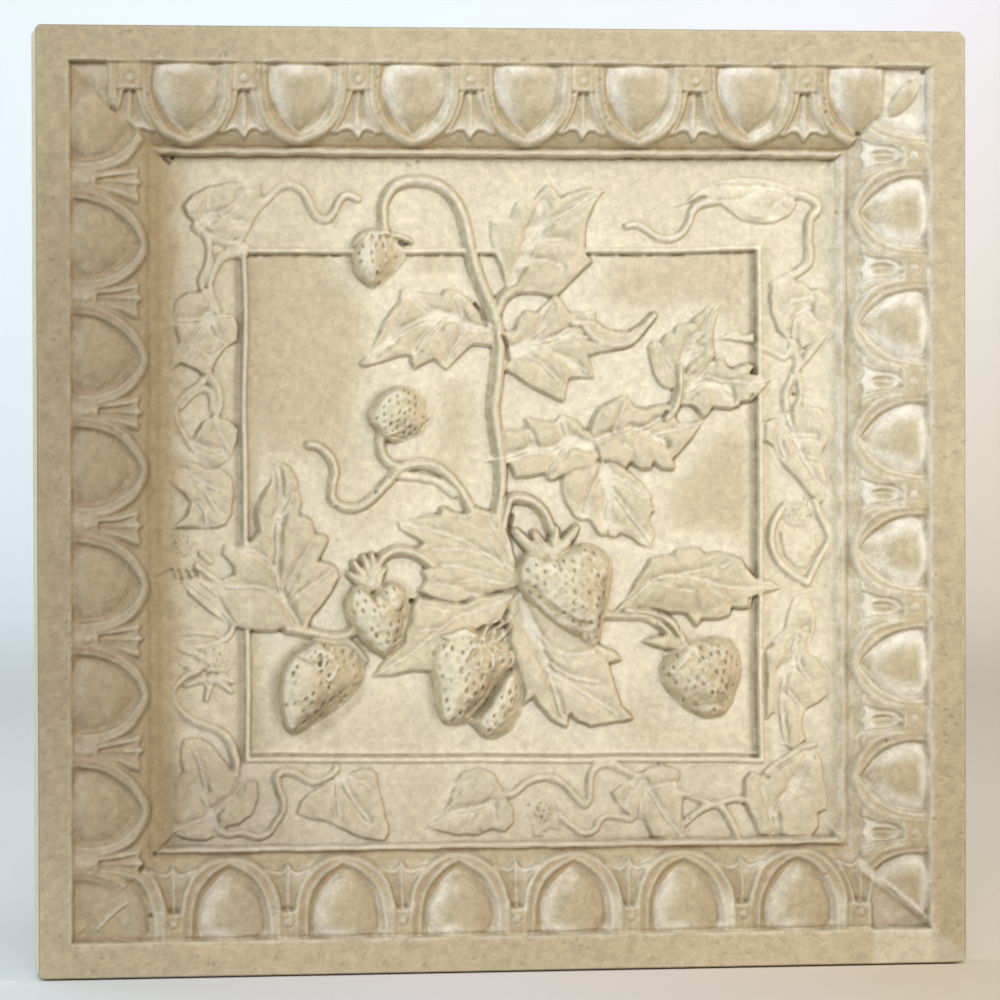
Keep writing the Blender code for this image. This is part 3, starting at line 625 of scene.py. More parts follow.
# rosette and the bud with hatched sepals
bud((-104.6, -8.8), (-105.2, -18), 4.6, 1.1, seed=21)
leaf([(-104, -26), (-99.5, -24.6), (-94, -26.5), (-90, -30.5), (-86.8, -37.5), (-86.8, -40.6),
      (-92, -37.6), (-97, -34.2), (-101.2, -30)],
     [[(-102, -26.5), (-95, -32), (-88, -39.3)], [(-98, -26.4), (-93, -30.5)]], **flat)
for a, b in (((-112.5, -24.6), (-108, -22.3)), ((-107.5, -22), (-106.4, -25)),
             ((-105.3, -22.4), (-104.4, -25)), ((-102.9, -22.4), (-101.6, -24.6)),
             ((-100.3, -22), (-99, -24.8)), ((-99.6, -20), (-97.8, -21))):
    cut([a, b], 0.75, 0.9)
stem([(-97.5, -17), (-94.5, -19.5)], 0.8, 0.6, 0.7)
stem([(-99, -21), (-94, -24.5), (-91.5, -27)], 0.8, 0.7, 0.8)
# berry with star calyx
stem([(-105, -46.6), (-100, -47.2), (-95, -46.3), (-90.2, -44.6), (-88, -42.2), (-87.3, -39.5)], 0.8,
     0.8, 0.9)
stem([(-105.5, -42.8), (-100, -42.4), (-94, -43)], 0.7, 0.5, 0.5)
bud((-93.2, -57), (-92.4, -45.6), 6.0, 1.5, seed=22)
stem([(-98, -50.2), (-101.5, -48.7), (-105, -47.6)], 0.9, 0.5, 0.8)
stem([(-98, -53.5), (-101.5, -53.3), (-105, -52)], 0.9, 0.5, 0.8)
for tip in [(-103, -59.5), (-96.3, -64.2), (-88, -61.6), (-87.5, -58.3)]:
    stem([(-94.5, -57.6), ((-94.5 + tip[0]) / 2, (-57.2 + tip[1]) / 2 + 0.4), tip], 1.2, 0.5, 0.9)
stem([(-98.8, -54.6), (-103.5, -56.8), (-106.9, -60.6), (-106.3, -65.5), (-102.5, -69.7),
      (-97.5, -72.2), (-92.5, -74), (-89.2, -77), (-87.6, -81), (-86.6, -85), (-87.1, -89)],
     1.1, 1.3, 1.4)
# bottom left corner
leaf([(-104, -77), (-99, -76), (-94.5, -79), (-91.5, -83), (-88, -88), (-84, -90.2), (-80.3, -90.5),
      (-79.8, -96), (-82, -101.5), (-86, -104.3), (-90, -104.8), (-92, -107.5), (-97, -109.5),
      (-103, -108.8), (-107.8, -106.5), (-106.5, -104), (-109, -100), (-107, -96), (-106.8, -90.5),
      (-104, -87.5), (-105, -82)],
     [[(-85, -90.5), (-87.5, -94.8), (-92, -98), (-94.6, -102), (-93, -107)],
      [(-100.8, -92), (-97.3, -97), (-95.6, -102)], [(-101, -80), (-98.6, -86), (-97.2, -93)],
      [(-107.8, -106.6), (-101, -104), (-95, -102.8)]],
     **flat)
stem([(-92, -107), (-89, -107.8), (-85, -107.2), (-80, -108.6), (-76.3, -107.5), (-73.8, -104),
      (-71.6, -101), (-71.6, -97), (-73, -93), (-73.4, -89.3), (-71, -87.6), (-67, -88.5),
      (-63, -90.8), (-60, -91.2), (-56.5, -89.5), (-54, -87)],
     1.0, 1.2, 1.5)
# bottom band
leaf([(-54.5, -90), (-50, -88.5), (-45, -86.7), (-41.7, -88), (-40.8, -92), (-39.2, -99), (-37, -108),
      (-38.5, -110.6), (-45, -109.5), (-49, -108), (-54, -105), (-58, -103.5), (-63, -103),
      (-67, -101), (-66, -98), (-63, -95), (-59, -92.3)],
     [[(-53, -90.5), (-50.5, -95), (-48, -99), (-44.5, -103.5)],
      [(-54.2, -91.5), (-54, -97), (-53.6, -102.5)], [(-51, -90), (-45.5, -92), (-42, -95)]],
     **dict(flat, lean=(0.02, 0.0)))
leaf([(-15.5, -93), (-13, -89), (-8, -87.3), (-3, -89), (-0.5, -93), (1, -97), (3.8, -101),
      (3.6, -105), (1.2, -108), (-3, -107), (-8, -109), (-15, -108.8), (-22, -107), (-25.5, -106.3),
      (-19.5, -102.3), (-17, -98.5)],
     [[(-24, -105.8), (-17, -102), (-9.5, -100.6), (-3.5, -99)], [(-9.5, -100.6), (-12, -105.2)],
      [(-15.8, -95), (-14, -92.8), (-10, -91.5)], [(-4, -99), (-2.5, -104)]],
     **flat)
stem([(-1, -96.2), (4, -95.8), (8, -92.6), (13, -90.8), (18, -91.2), (22, -94.2), (25.3, -98),
      (27.8, -99.8), (29.3, -97), (29.4, -91.5), (31, -87.8), (35, -86.7), (40, -88.2), (45, -91)],
     1.0, 1.2, 1.4)
leaf([(9.5, -98.5), (13, -96.6), (17.5, -98), (21, -101), (18.5, -104.8), (19, -107.5),
      (15.6, -106.5), (13.5, -109.5), (10.8, -109.8), (10.5, -106), (9, -103)],
     [], edge=0.7, crown=0.2)
bud((13.6, -96.8), (13.8, -105.6), 4.2, 1.9, seed=23)
stem([(19.5, -103.6), (23.5, -106.8), (27.5, -109), (31, -107.8), (32.6, -104.8), (36, -103.6),
      (43, -104.8)],
     0.9, 0.9, 1.2)
leaf([(45, -91), (48, -88.5), (53, -87.3), (58, -88.5), (59, -90.5), (58.3, -94), (60, -97),
      (59.5, -104), (61, -111.4), (55, -111), (50, -110.5), (47.5, -105), (43, -104), (40.5, -102),
      (38, -98.5), (36.5, -96), (40, -93.5)],
     [[(47, -92.5), (52, -101), (56, -107), (59.6, -111)], [(46, -94), (45.4, -104)],
      [(49, -95), (55, -93.6), (58.5, -94.3)], [(43, -94), (40.5, -99)]],
     **flat)
stem([(59.5, -96.3), (63, -97.5), (68, -99.6), (71, -100.4), (75, -99.1), (79, -98.6), (82, -99.5)],
     0.9, 0.8, 1.2)
stem([(60.8, -106.4), (64, -103.6), (68.5, -101), (72, -100.6), (75.2, -104), (77.5, -108.5),
      (78.7, -112)],
     0.9, 1.0, 1.2)
# bottom right corner
leaf([(80.5, -99), (81, -92), (83, -89.3), (86, -91), (88.5, -92.5), (89.5, -88.5), (92, -89),
      (97, -85.5), (104, -81.5), (106, -86), (107, -92), (108.5, -99), (108, -102.5), (105, -103.5),
      (105.3, -108), (103, -110.8), (96, -111), (92, -109.8), (89.5, -111), (85.5, -110),
      (84.5, -107), (82.5, -103)],
     [[(91, -109), (90.6, -103), (93.5, -98.6), (97, -95), (99, -90.5), (103, -84)],
      [(86, -95.5), (88, -101), (90.5, -105)], [(94, -98), (100, -97)], [(96, -94), (102, -92.5)]],
     **flat)
stem([(88, -90), (91, -87.5), (96, -84.6), (100, -82.2), (104, -81)], 1.1, 0.9, 1.4)
# top right
leaf([(58, 95.5), (62, 97), (64.5, 99.5), (68, 102), (73, 103.8), (80, 104.8), (88, 104.6), (94, 103),
      (98.5, 101.3), (96.5, 99.5), (98.3, 96.5), (96, 92.7), (91, 90.3), (85, 90), (80, 91.3),
      (76, 94), (72, 97), (68, 99), (63, 97.3)],
     [[(66, 100.3), (72, 101.8), (80, 102), (90, 101.5), (96, 100)],
      [(73, 97.3), (80, 97.6), (84, 100), (87, 101.5)], [(90, 95), (95, 98.8)]],
     edge=0.9, crown=0.7, wall=0.5, rib=-0.25, fold=0.35)
stem([(42, 89), (45.5, 89.5), (49, 87.5), (52, 85.5), (56, 84.8), (60, 86.5), (62.5, 90), (64, 94),
      (67, 96.3), (71.5, 97.3)],
     0.8, 1.1, 1.3)
stem([(96, 99.6), (101, 99.2), (105, 97), (105.4, 94.3), (103, 91), (102.6, 85), (103, 80),
      (102.4, 76.8), (99.3, 74.3), (95, 71.5), (91, 70)],
     1.2, 1.4, 1.4)
# right band
leaf([(90, 70), (96, 71.2), (101, 70.5), (103, 67.8), (106, 68.7), (110, 65.5), (111, 60),
      (110, 55.5), (104, 50.5), (98, 48.5), (95.5, 52), (92, 55), (90.3, 60), (89.5, 65)],
     [[(98, 49), (96.8, 55), (98.5, 60), (102, 62.3)], [(93, 61.5), (96.5, 64), (102.5, 65.4)],
      [(101, 61), (104, 58)]],
     **flat)
stem([(109.6, 55.8), (105, 50.2), (100.5, 44.7), (97.8, 41.5)], 1.5, 1.2, 1.4)
stem([(86, 50), (91.5, 47.2), (94.5, 46), (97, 50.5)], 0.8, 0.8, 0.9)
stem([(97, 50.5), (98.3, 46), (98.4, 42), (96.5, 38.5), (94.8, 34), (95, 29)], 1.2, 1.1, 1.2)
stem([(98.2, 42), (99.4, 38), (99.6, 33), (98, 29)], 0.9, 0.9, 1.2)
leaf([(88, 24.5), (90.5, 25.8), (94, 26.2), (97, 28.5), (101, 30), (105, 29.8), (109, 27.5),
      (110.5, 25), (110, 21), (108.3, 18), (106.5, 15), (107.5, 10), (109, 4), (109.5, 0),
      (106, -1.5), (102, 2), (98, 7), (94, 11), (90.8, 17.5), (87.5, 19)],
     [[(95, 27), (96.8, 21.5), (99, 15), (103.5, 7), (108, 1)], [(94, 24.5), (92, 19), (94, 13.5)],
      [(97, 20.5), (104, 20.3)], [(99.5, 14), (105, 12.5)]],
     **flat)
bud((98.6, 1.6), (98.4, -10), 6.0, 1.5, seed=24)
leaf([(93, -11), (98, -12.5), (104.5, -11.5), (104.8, -17), (101.5, -23), (98.5, -22.5), (94.5, -18.5)],
     [], edge=0.8, crown=0.5)
stem([(94.5, -2.5), (90.6, -8.5), (90, -14.5), (92.3, -20.5), (97, -25), (102, -28)], 1.1, 1.0, 1.3)
stem([(102, -28), (104.2, -23), (108, -16.5), (109.2, -12), (106.3, -6), (104.6, -1.5)], 1.0, 1.1,
     1.3)
leaf([(101, -31.3), (97.5, -33), (95.5, -38), (94.5, -43), (90, -47.5), (92, -48), (97, -45),
      (100.5, -41), (103, -41.5), (102.8, -45), (101, -50.5), (103.8, -45), (104.5, -40), (103, -34)],
     [], edge=1.0, crown=0.4)
leaf([(87.5, -50), (91, -47.8), (96, -45), (100, -43), (102, -45), (100.8, -50.5), (105, -53),
      (108.5, -57.5), (110.5, -63), (106, -66.5), (101, -69.5), (99.5, -74), (101, -79), (97, -82.5),
      (93, -80.5), (92.3, -76), (92.5, -71), (90, -70), (87.8, -72.5), (88, -65), (88.5, -58)],
     [[(98, -46), (94.5, -55), (93, -63), (92.6, -70), (94, -79)],
      [(98.5, -52), (99.2, -56), (102.3, -59.6)], [(95, -63.5), (99.5, -69.5)],
      [(93, -57), (98, -54.3)]],
     **flat)


# ---------------------------------------------------------------------------
# The strawberry plant, in the highest relief on the tile. Its stalks come first: one that arches
# over a small berry, with a short branch to the leaves, and a curling tendril at the left.
stem([(-37.8, 86), (-38.4, 91), (-38.1, 96.5), (-35.3, 101), (-30.8, 103), (-25.3, 103.3),
      (-20.3, 102), (-15.8, 98.5), (-12.8, 93.5), (-11.1, 87.5), (-9.6, 80.5), (-7.6, 73.5), (-5, 67),
      (-2.4, 61)],
     1.45, 1.9, 2.3)
stem([(-2.4, 61), (-1, 55), (-0.4, 49), (-0.7, 43), (-1.5, 36), (-2.2, 30), (-1.8, 24), (-0.8, 18),
      (0, 11), (0, 4), (-0.8, -3), (-1.3, -8)],
     2.1, 1.6, 2.4)
stem([(-2, 59), (-0.3, 63.5), (2.4, 66.8), (6.7, 69)], 1.8, 1.5, 2.2)
# tendril on the left
stem([(-62.8, 18), (-59.1, 17.2), (-55.8, 14), (-54.1, 9.5), (-55.1, 4.5), (-55.1, 0.5), (-52.3, -2),
      (-47.3, -2.5), (-42.8, 0), (-38.3, 4.5), (-32.8, 9.8)],
     1.0, 1.35, 1.7)
stem([(-34.8, 8.5), (-31.3, 10.8), (-26.3, 11.8), (-20.8, 10.4), (-15.8, 6.2), (-11.8, 0.5),
      (-9.3, -4.5)],
     1.4, 1.5, 1.9)
stem([(-32.8, 8), (-26.8, 7.4), (-20.3, 5.8), (-15.3, 1.8)], 1.0, 1.0, 0.9)
stem([(-38.8, 22), (-39.4, 16.5), (-37.3, 12.8), (-32.8, 10)], 1.35, 1.3, 1.8)


# ---------------------------------------------------------------------------
# The plant's leaves, in threes, with toothed edges and sunk veins. Each lies over those before it
# and leans its own way.

# top leaf
leaf([(2.5, 68), (0.4, 75.5), (-1.9, 80.5), (-3, 85), (-3.3, 90.8), (-1, 91.5), (3.1, 91), (4.4, 94),
      (5.6, 96.8), (8, 97), (11, 97.2), (13, 99.6), (15.8, 102.5), (17.8, 101), (19.7, 97.7),
      (22.5, 99.3), (27, 100.6), (31, 101), (34.2, 100.4), (32, 98), (30.3, 95.2), (28.7, 91.5),
      (27.8, 87), (27.2, 83), (28, 79.5), (30, 77.3), (27, 74.8), (23, 70.8), (18.4, 66.2),
      (13.5, 67.2), (8.5, 67)],
     [[(4, 70.5), (7.5, 78), (10.4, 85.5), (14.8, 89.8), (20, 92.2), (26, 96), (32, 99.8)],
      [(5.6, 74.3), (9, 77.2), (14, 77.5), (19.5, 75.7)], [(9.2, 83.2), (14, 84), (20.5, 84.4)],
      [(9.8, 87.5), (11.5, 91), (14.5, 96)], [(12, 87.7), (11, 88)]],
     edge=1.5, crown=0.9, lean=(0.05, -0.02))
# left leaf
leaf([(-2.5, 56), (-5, 57.5), (-6.8, 60.8), (-10, 64.8), (-14, 67.3), (-18, 68.4), (-19.6, 66.2),
      (-26, 67), (-32.6, 68.4), (-33, 64), (-37.8, 58.5), (-40.2, 52.5), (-42.3, 47.8), (-46, 44.4),
      (-44.8, 43.4), (-39, 45), (-34, 46.6), (-28.9, 47.6), (-29.5, 45), (-28.4, 42.4), (-24.8, 44.6),
      (-21.8, 46), (-18, 42.4), (-13.8, 46.5), (-9.5, 50.4), (-3, 50.2)],
     [[(-3, 54), (-9, 56), (-15, 59.2), (-21, 59.4), (-28, 57.3), (-35, 53), (-42, 47)],
      [(-16.5, 59.6), (-23.5, 61.8), (-29.8, 66.3)], [(-12.5, 58.2), (-14.6, 65.2)],
      [(-19, 58), (-24.5, 53), (-27.5, 48.8)], [(-11, 56), (-15.5, 50), (-18, 44.5)]],
     edge=1.6, crown=0.8, lean=(0.012, -0.015))
# right leaf with a rolled lobe
leaf([(0.5, 54.2), (4.6, 54.4), (6, 58.5), (8.5, 61.3), (12, 60.3), (15.5, 63.8), (18, 66.2),
      (20.6, 64), (22.3, 60.6), (27, 60.4), (31.2, 61.2), (31, 58.6), (33.5, 56), (38, 54.5),
      (42.5, 54.3), (46, 56.8), (51.5, 60.2), (48.5, 56.5), (46, 52.5), (42, 49.9), (37, 48.6),
      (32, 47.8), (28.6, 47), (29.8, 43.5), (30.5, 39.6), (26, 40), (22.4, 39.6), (21.4, 36),
      (20.6, 32), (15.5, 34.2), (9.5, 37.2), (4.2, 40.8), (1, 42.5), (2, 47)],
     [[(1.5, 48.3), (8, 49.6), (15, 51.6), (22, 52.8), (29, 52.8)],
      [(8, 49.8), (12.5, 55), (16.8, 62.5)], [(5.5, 47.8), (12.5, 44.5), (20, 37)],
      [(13, 49.5), (21, 45.3), (28.5, 41.3)], [(18, 52.4), (24, 55.8), (29, 58.6)]],
     edge=1.7, crown=0.8, lean=(0.02, -0.02))
stem([(24, 57.4), (30.5, 57.3)], 0.9, 0.9, 0.9, 1.6)
stem([(28, 56), (31, 52.6), (34.5, 50.6), (39, 50.3), (43.3, 51.3), (46.7, 55), (50.8, 59.6)], 0.9,
     0.8, 1.0, 1.6)
# upper right pair
stem([(54.6, 25.8), (57.3, 29), (58.8, 33), (59.3, 38), (59.2, 43)], 1.5, 1.2, 2.6)
leaf([(57.5, 33), (58.2, 37.5), (56.2, 35.9), (53, 37.2), (50.7, 41), (49.3, 46), (48.8, 49.5),
      (50.5, 51.4), (53, 50), (54, 52.5), (55.3, 53.9), (57.2, 53.5), (58.2, 56), (60.2, 56.9),
      (61.7, 57.1), (63.3, 57.5), (64, 59), (66, 60.2), (69.5, 62.6), (72.6, 63), (71.2, 58.5),
      (70.2, 54), (70.3, 49.5), (71, 46.5), (68, 43), (64, 38), (61, 33.5)],
     [[(59.3, 38), (59.8, 43), (62, 49.5), (64.5, 53), (67, 54.8), (69, 58.5), (71, 62)],
      [(59.6, 42), (62, 45.5), (66.5, 49)], [(61.3, 36.8), (63.3, 39.8)], [(57, 42), (54, 46.5)]],
     edge=1.4, crown=0.9, lean=(0.05, 0.0))
leaf([(60, 32.5), (62.5, 36.5), (66, 42.4), (70, 44.6), (73.5, 45.4), (74.7, 43), (76.5, 42),
      (79.5, 43.2), (82, 44.2), (83.8, 43), (82, 40.6), (86, 39.8), (89.8, 39.1), (87.5, 36.5),
      (85, 34), (83.2, 32), (79.6, 31.8), (79, 30.2), (76, 29.4), (70, 30), (69, 28), (67.3, 26.4),
      (65.5, 29), (63, 30.8), (60.3, 30.6)],
     [[(60.5, 32.8), (65.5, 36), (69, 37.4), (72, 36.8), (75.5, 34.8)],
      [(64.5, 38), (68, 39.6), (73, 38.2), (78, 37.8), (83, 37.6), (88.8, 38.8)],
      [(62, 38.5), (64.3, 41.8), (70, 44)], [(70, 33.5), (76, 32.2)]],
     edge=1.9, crown=0.9, lean=(0.0, -0.02))
leaf([(73, 52.3), (75.5, 54), (78.5, 54.7), (81.5, 52.9), (84, 53.9), (84, 51.2), (79, 51.5)], [],
     edge=0.9, crown=0.2)
# trio
leaf([(31.5, 13.5), (27, 11.5), (22, 9.5), (20.3, 6), (20.2, 2), (22, -2), (24.5, -5.8), (27, -7),
      (29.3, -6.2), (31.5, -10), (33, -11.8), (34.5, -11.6), (34.9, -8), (35.7, -11.7), (38, -12.6),
      (39.5, -10.8), (43, -12.3), (47, -15), (50, -15.7), (50.6, -12), (49, -8), (49.6, -4.5),
      (50.8, -3.8), (49, -0.5), (49.8, 0.6), (47.5, 4), (46, 5.5), (43, 8), (39.5, 10.5), (35, 13.5)],
     [[(33, 14), (34.5, 8), (35.6, 2), (35.2, -3), (34.7, -7)],
      [(34.3, 8.5), (31, 5), (28.5, 0), (27.5, -4)],
      [(35.4, 4), (39.5, -1.5), (44, -7.5), (49.5, -14.5)], [(35, 8), (41, 5), (47, 1.5)]],
     edge=1.3, crown=0.9, lean=(0.012, 0.0))
leaf([(30, 19.5), (28.8, 21.8), (27, 22.4), (26.5, 24), (23.5, 26), (20, 27.6), (18.4, 24.8),
      (14, 25.3), (8.5, 26.2), (9.2, 22.6), (4.5, 22.2), (-0.3, 22.6), (0.8, 19.5), (-1, 15.5),
      (-5.3, 12.6), (-2, 12.4), (3, 12), (4.2, 9.8), (5, 7.2), (10, 7.8), (15.5, 8.8), (15.3, 7),
      (16.8, 6.4), (21.5, 8.2), (24, 9.8), (30, 10.8), (32, 14)],
     [[(31, 17), (27, 17.2), (22.5, 18.6), (17, 16.4), (11, 16.3), (4, 14.4), (-4, 12.8)],
      [(22.5, 18.6), (21.3, 21.5), (20.3, 25)], [(28.5, 17.6), (24.5, 20)],
      [(22, 17.8), (19, 13.5), (16, 9.5)], [(11, 16.3), (9.5, 21)]],
     edge=1.7, crown=0.9, lean=(0.02, -0.03))
leaf([(30.5, 19), (29.3, 22.5), (30.5, 26), (32.5, 29.5), (36, 31.5), (41, 33.6), (42.5, 31.8),
      (44, 30.2), (47.5, 28.8), (52, 30.2), (56, 30.3), (56.5, 27.5), (59, 24.3), (63, 24.5),
      (66.8, 25.2), (65, 22.5), (62.5, 19.3), (59.5, 15.8), (56.5, 13), (57.3, 9.8), (53, 10),
      (50.3, 12.4), (49.3, 9.8), (46.5, 9.8), (42.8, 12.5), (41, 10.2), (38, 12), (33, 12.8)],
     [[(31, 19), (36, 21), (42, 22.9), (45.5, 22.3), (50, 24.6), (55.5, 27)],
      [(44.5, 22.4), (50.5, 20.2), (53.5, 17.8)], [(40, 17.8), (42.5, 15.8)],
      [(51, 21), (58, 22.5), (65, 24.6)], [(37, 21.2), (38.5, 26), (41, 31)]],
     edge=2.1, crown=1.0, lean=(-0.005, -0.02))
# big left leaf
leaf([(-74, 11.8), (-71.5, 12.2), (-69, 10.6), (-67, 6), (-65.6, 0), (-66.2, -5.2), (-64.5, -5),
      (-62.4, -6.5), (-61.3, -11), (-58.5, -11.2), (-56.6, -12.3), (-58, -15), (-60.5, -19.9),
      (-56.5, -20.4), (-54, -21.8), (-53.6, -25), (-56, -29.5), (-59, -34), (-62, -37), (-64, -42),
      (-70, -40.3), (-74, -42), (-80, -42), (-83, -41.2), (-86.5, -40.5), (-88, -37.5), (-91.2, -32),
      (-92.6, -27), (-91, -25.5), (-87.2, -24), (-87.6, -21), (-91, -17), (-90.3, -14.3),
      (-84, -14.6), (-81.2, -12.8), (-79, -10), (-79.9, -5), (-79.4, -1), (-77, 3), (-75.2, 5.5),
      (-74.4, 9)],
     [[(-67, -39.5), (-71, -33), (-73.6, -25), (-73.4, -15), (-73.3, -8), (-72.6, 0), (-73.2, 10)],
      [(-70.4, -29), (-68.4, -24), (-65.5, -19), (-62.5, -14.5)],
      [(-69.5, -33), (-63, -28), (-56, -23.5)], [(-74, -22), (-80, -17), (-88, -15.5)],
      [(-72, -31), (-80, -28), (-90, -28)], [(-73.2, -6), (-70, -2), (-68, 2)]],
     edge=1.7, crown=1.1, lean=(0.035, -0.01))
stem([(-70, -41.3), (-65, -42.3), (-60, -43.4), (-54.5, -44.3), (-50, -43.3), (-46, -41)], 1.5, 1.3,
     2.2)
stem([(-60, -45.3), (-55, -46), (-50.5, -45.8), (-47, -48.5), (-44.5, -52)], 1.0, 0.8, 1.5)
# right leaf, low
leaf([(38, -36.4), (42, -32), (44.5, -27.5), (48, -22.5), (49.5, -19.5), (53, -18.8), (57, -19),
      (58, -17), (62, -16.1), (65.5, -16), (67.2, -18.3), (72, -18), (76, -18.7), (79.7, -20),
      (81, -22.5), (83.5, -25.5), (85.5, -27.2), (90, -27.5), (92.6, -29.4), (88, -30.6),
      (83.3, -32.2), (82.6, -35.8), (76, -35.5), (75.3, -38.3), (71.5, -39.4), (66, -39.2),
      (64.5, -41.8), (61.5, -37.5), (56, -37), (50, -35.8), (45, -35), (41, -36.8)],
     [[(38, -36.6), (44, -31.5), (50, -27), (55, -25.4), (62, -25.8), (68, -27.4), (75, -29.2),
       (83, -29.5), (91, -29.6)], [(58, -25), (64, -24), (70, -22.8)],
      [(67.5, -27.3), (70.5, -30.5), (75.5, -33)], [(50, -27.2), (57, -29.3), (63, -30.6)],
      [(72, -23), (76, -21.3)]],
     edge=1.9, crown=0.9, lean=(0.012, -0.02), rib=0.7, fold=1.1)
# central trifoliate
leaf([(5, -28), (4.5, -20), (2.5, -12), (0, -7), (-3.5, -4.3), (-8, -2.6), (-9.7, -4.2), (-12, -5),
      (-16, -4), (-19.5, -1.9), (-20.4, -4.9), (-26, -5.6), (-31, -6.8), (-33.6, -7), (-33, -9.2),
      (-29, -11.5), (-25.6, -13.8), (-27.6, -15.6), (-24.5, -18.5), (-22, -20.8), (-26, -23),
      (-24.5, -26.5), (-27, -29.5), (-22, -32), (-15, -33.5), (-8, -31.5)],
     [[(4, -23), (-3, -19.5), (-10, -15), (-19, -11), (-31.5, -8)],
      [(3, -26), (-6, -24), (-13, -22), (-20, -21.5)], [(1, -27.4), (-8, -25.8), (-14, -26.8)],
      [(4, -21), (0.5, -14), (-5, -6.5)], [(1.5, -22), (-5, -12), (-14, -6.5)],
      [(4.5, -28.5), (-8, -31.2), (-15, -28.8), (-22, -27.2)],
      [(-1, -20), (-10, -16.7), (-22, -16.2)]],
     edge=1.9, crown=1.0, lean=(0.03, 0.0), rib=0.85, fold=1.1)
leaf([(4.5, -30.4), (-3, -31.3), (-8, -31.8), (-12, -33.8), (-16, -34), (-22, -32.8), (-27, -31.8),
      (-29.5, -34.5), (-31, -40), (-32, -46), (-36, -50), (-38, -52), (-41.8, -56.9), (-35, -56.7),
      (-29, -55), (-22, -55.5), (-21, -50), (-18, -45), (-12, -42), (-9, -42.5), (-4, -40),
      (0, -39.4), (2.4, -34)],
     [[(3, -31.5), (-7, -35.5), (-16, -39), (-24, -45), (-32, -51), (-40.5, -56.2)],
      [(-12, -37), (-19, -36), (-26, -34.5)], [(-20, -42), (-27, -42.5)]],
     edge=2.1, crown=1.2, lean=(0.02, 0.0), rib=0.6, fold=0.9)
leaf([(6, -30), (2.8, -34), (1.2, -39), (3, -43), (2.5, -46), (4, -50), (5.5, -56), (7.5, -62),
      (7, -66.8), (8.5, -65.6), (10.5, -63.8), (12, -66.5), (16, -71), (19.5, -73.4), (21.3, -74.2),
      (22.4, -69.2), (25, -72), (29.5, -73.8), (36, -72.8), (43.3, -71.7), (39.5, -67.5), (37.5, -62),
      (36, -57), (35, -53.3), (39.7, -52.4), (37, -49.5), (33.5, -48.3), (27, -46), (20, -42),
      (13, -36), (9, -31)],
     [[(6, -31), (9, -40), (12.3, -48), (15.3, -56), (17.5, -64), (20, -71)],
      [(8, -34), (11.5, -43), (17, -49), (23, -51), (30, -50)],
      [(13, -50.5), (18, -55.5), (25, -58.5), (32, -60)],
      [(15.3, -56.5), (24, -61.5), (31, -66), (38, -70.5)], [(5.5, -38), (9.5, -43)]],
     edge=2.0, crown=1.1, lean=(0.02, -0.012))


# ---------------------------------------------------------------------------
# The plant's eight strawberries on their short stems: lumpy mounds with seed pits in uneven rows,
# sepals laid over them, and nicks where the mould let go.

# berry stems
stem([(0.5, -9), (1.6, -4), (3, -0.3), (6.5, 0.4), (10.8, -1), (14, -4.2), (16.3, -9), (18.5, -14)],
     1.5, 1.4, 3.0)
stem([(-22.5, -21.5), (-26.5, -18.3), (-32, -16.4), (-37, -17.4), (-40.3, -20.8), (-42, -27)], 1.5,
     1.4, 2.8)
stem([(32, -38), (40, -38.2), (47.5, -38.6), (52.5, -41.5), (56.5, -46)], 1.0, 1.1, 2.0)
stem([(41, -36.4), (49, -37.4), (55, -39.8), (58.5, -43.8), (60.5, -48.5)], 1.1, 1.5, 2.6)
stem([(52, -40.5), (55.5, -44), (58.6, -48.3)], 0.8, 1.0, 2.6)
# berries
# under the arch
mound([(-46.5, 86.6), (-48.4, 80), (-47.9, 74.7), (-46.1, 71.3), (-42.3, 69), (-39.4, 69),
       (-36.8, 71.3), (-33.6, 74.7), (-30.8, 78.4), (-32, 82.6), (-36, 86), (-41, 87.6)],
      [(-41.5, 84, 6), (-42.8, 79.5, 7.2), (-42.6, 75.5, 6.8), (-42.2, 72, 4.6)], seed=1,
      toward=(1, -0.4))
pits((-0.15, -1), 3.0, 0.7, seed=1)
stem([(-39.6, 87.0), (-43, 86.8), (-46.4, 85.2), (-48.2, 82.6)], 1.5, 1.0, 1.6, over=True)
stem([(-38.6, 86.6), (-35.5, 85.8), (-32.5, 85.2), (-29.8, 83.6)], 1.3, 1.3, 2.0, over=True)
stem([(-39.4, 86.4), (-38.4, 83.4), (-38.3, 80.6)], 0.9, 0.6, 0.9, over=True)
stem([(-40.6, 86.6), (-42.2, 83.6), (-42.6, 80.8)], 0.9, 0.6, 0.8, over=True)
cut([(-44.4, 86.2), (-46.6, 83.8), (-47.6, 81.8)], 0.5, 1.2)
cut([(-32.8, 83.6), (-31.8, 82.8), (-30.4, 83.3)], 0.7, 1.6)
# at the left tendril
mound([(-43.6, 28.2), (-41.6, 31.1), (-39.8, 34), (-35.7, 36.1), (-30.7, 36.9), (-26.9, 35.5),
       (-23.6, 33), (-22.2, 29), (-23, 24.8), (-26, 21), (-30.7, 19.6), (-34.8, 18.8), (-38.4, 19.6),
       (-40.5, 22.6), (-43, 25)],
      [(-33.2, 33, 6.2), (-35.2, 29, 7.4), (-37.6, 25, 6.2)], seed=2, steep=0.5, soft=1.25,
      toward=(1, 0.2), lumps=0.45)
pits((0.5, 1), 2.3, 0.8, seed=2, size=0.5, keep=0.75)
for a, b in (((-36, 19.8), (-31.5, 21.2)), ((-37.4, 21.2), (-33, 22.8))):
    stem([a, ((a[0] + b[0]) / 2, (a[1] + b[1]) / 2 - 0.3), b], 0.7, 0.6, 0.8, over=True)
cut([(-38.4, 21.8), (-35.5, 20.6), (-31.6, 20.1)], 0.45, 1.2)
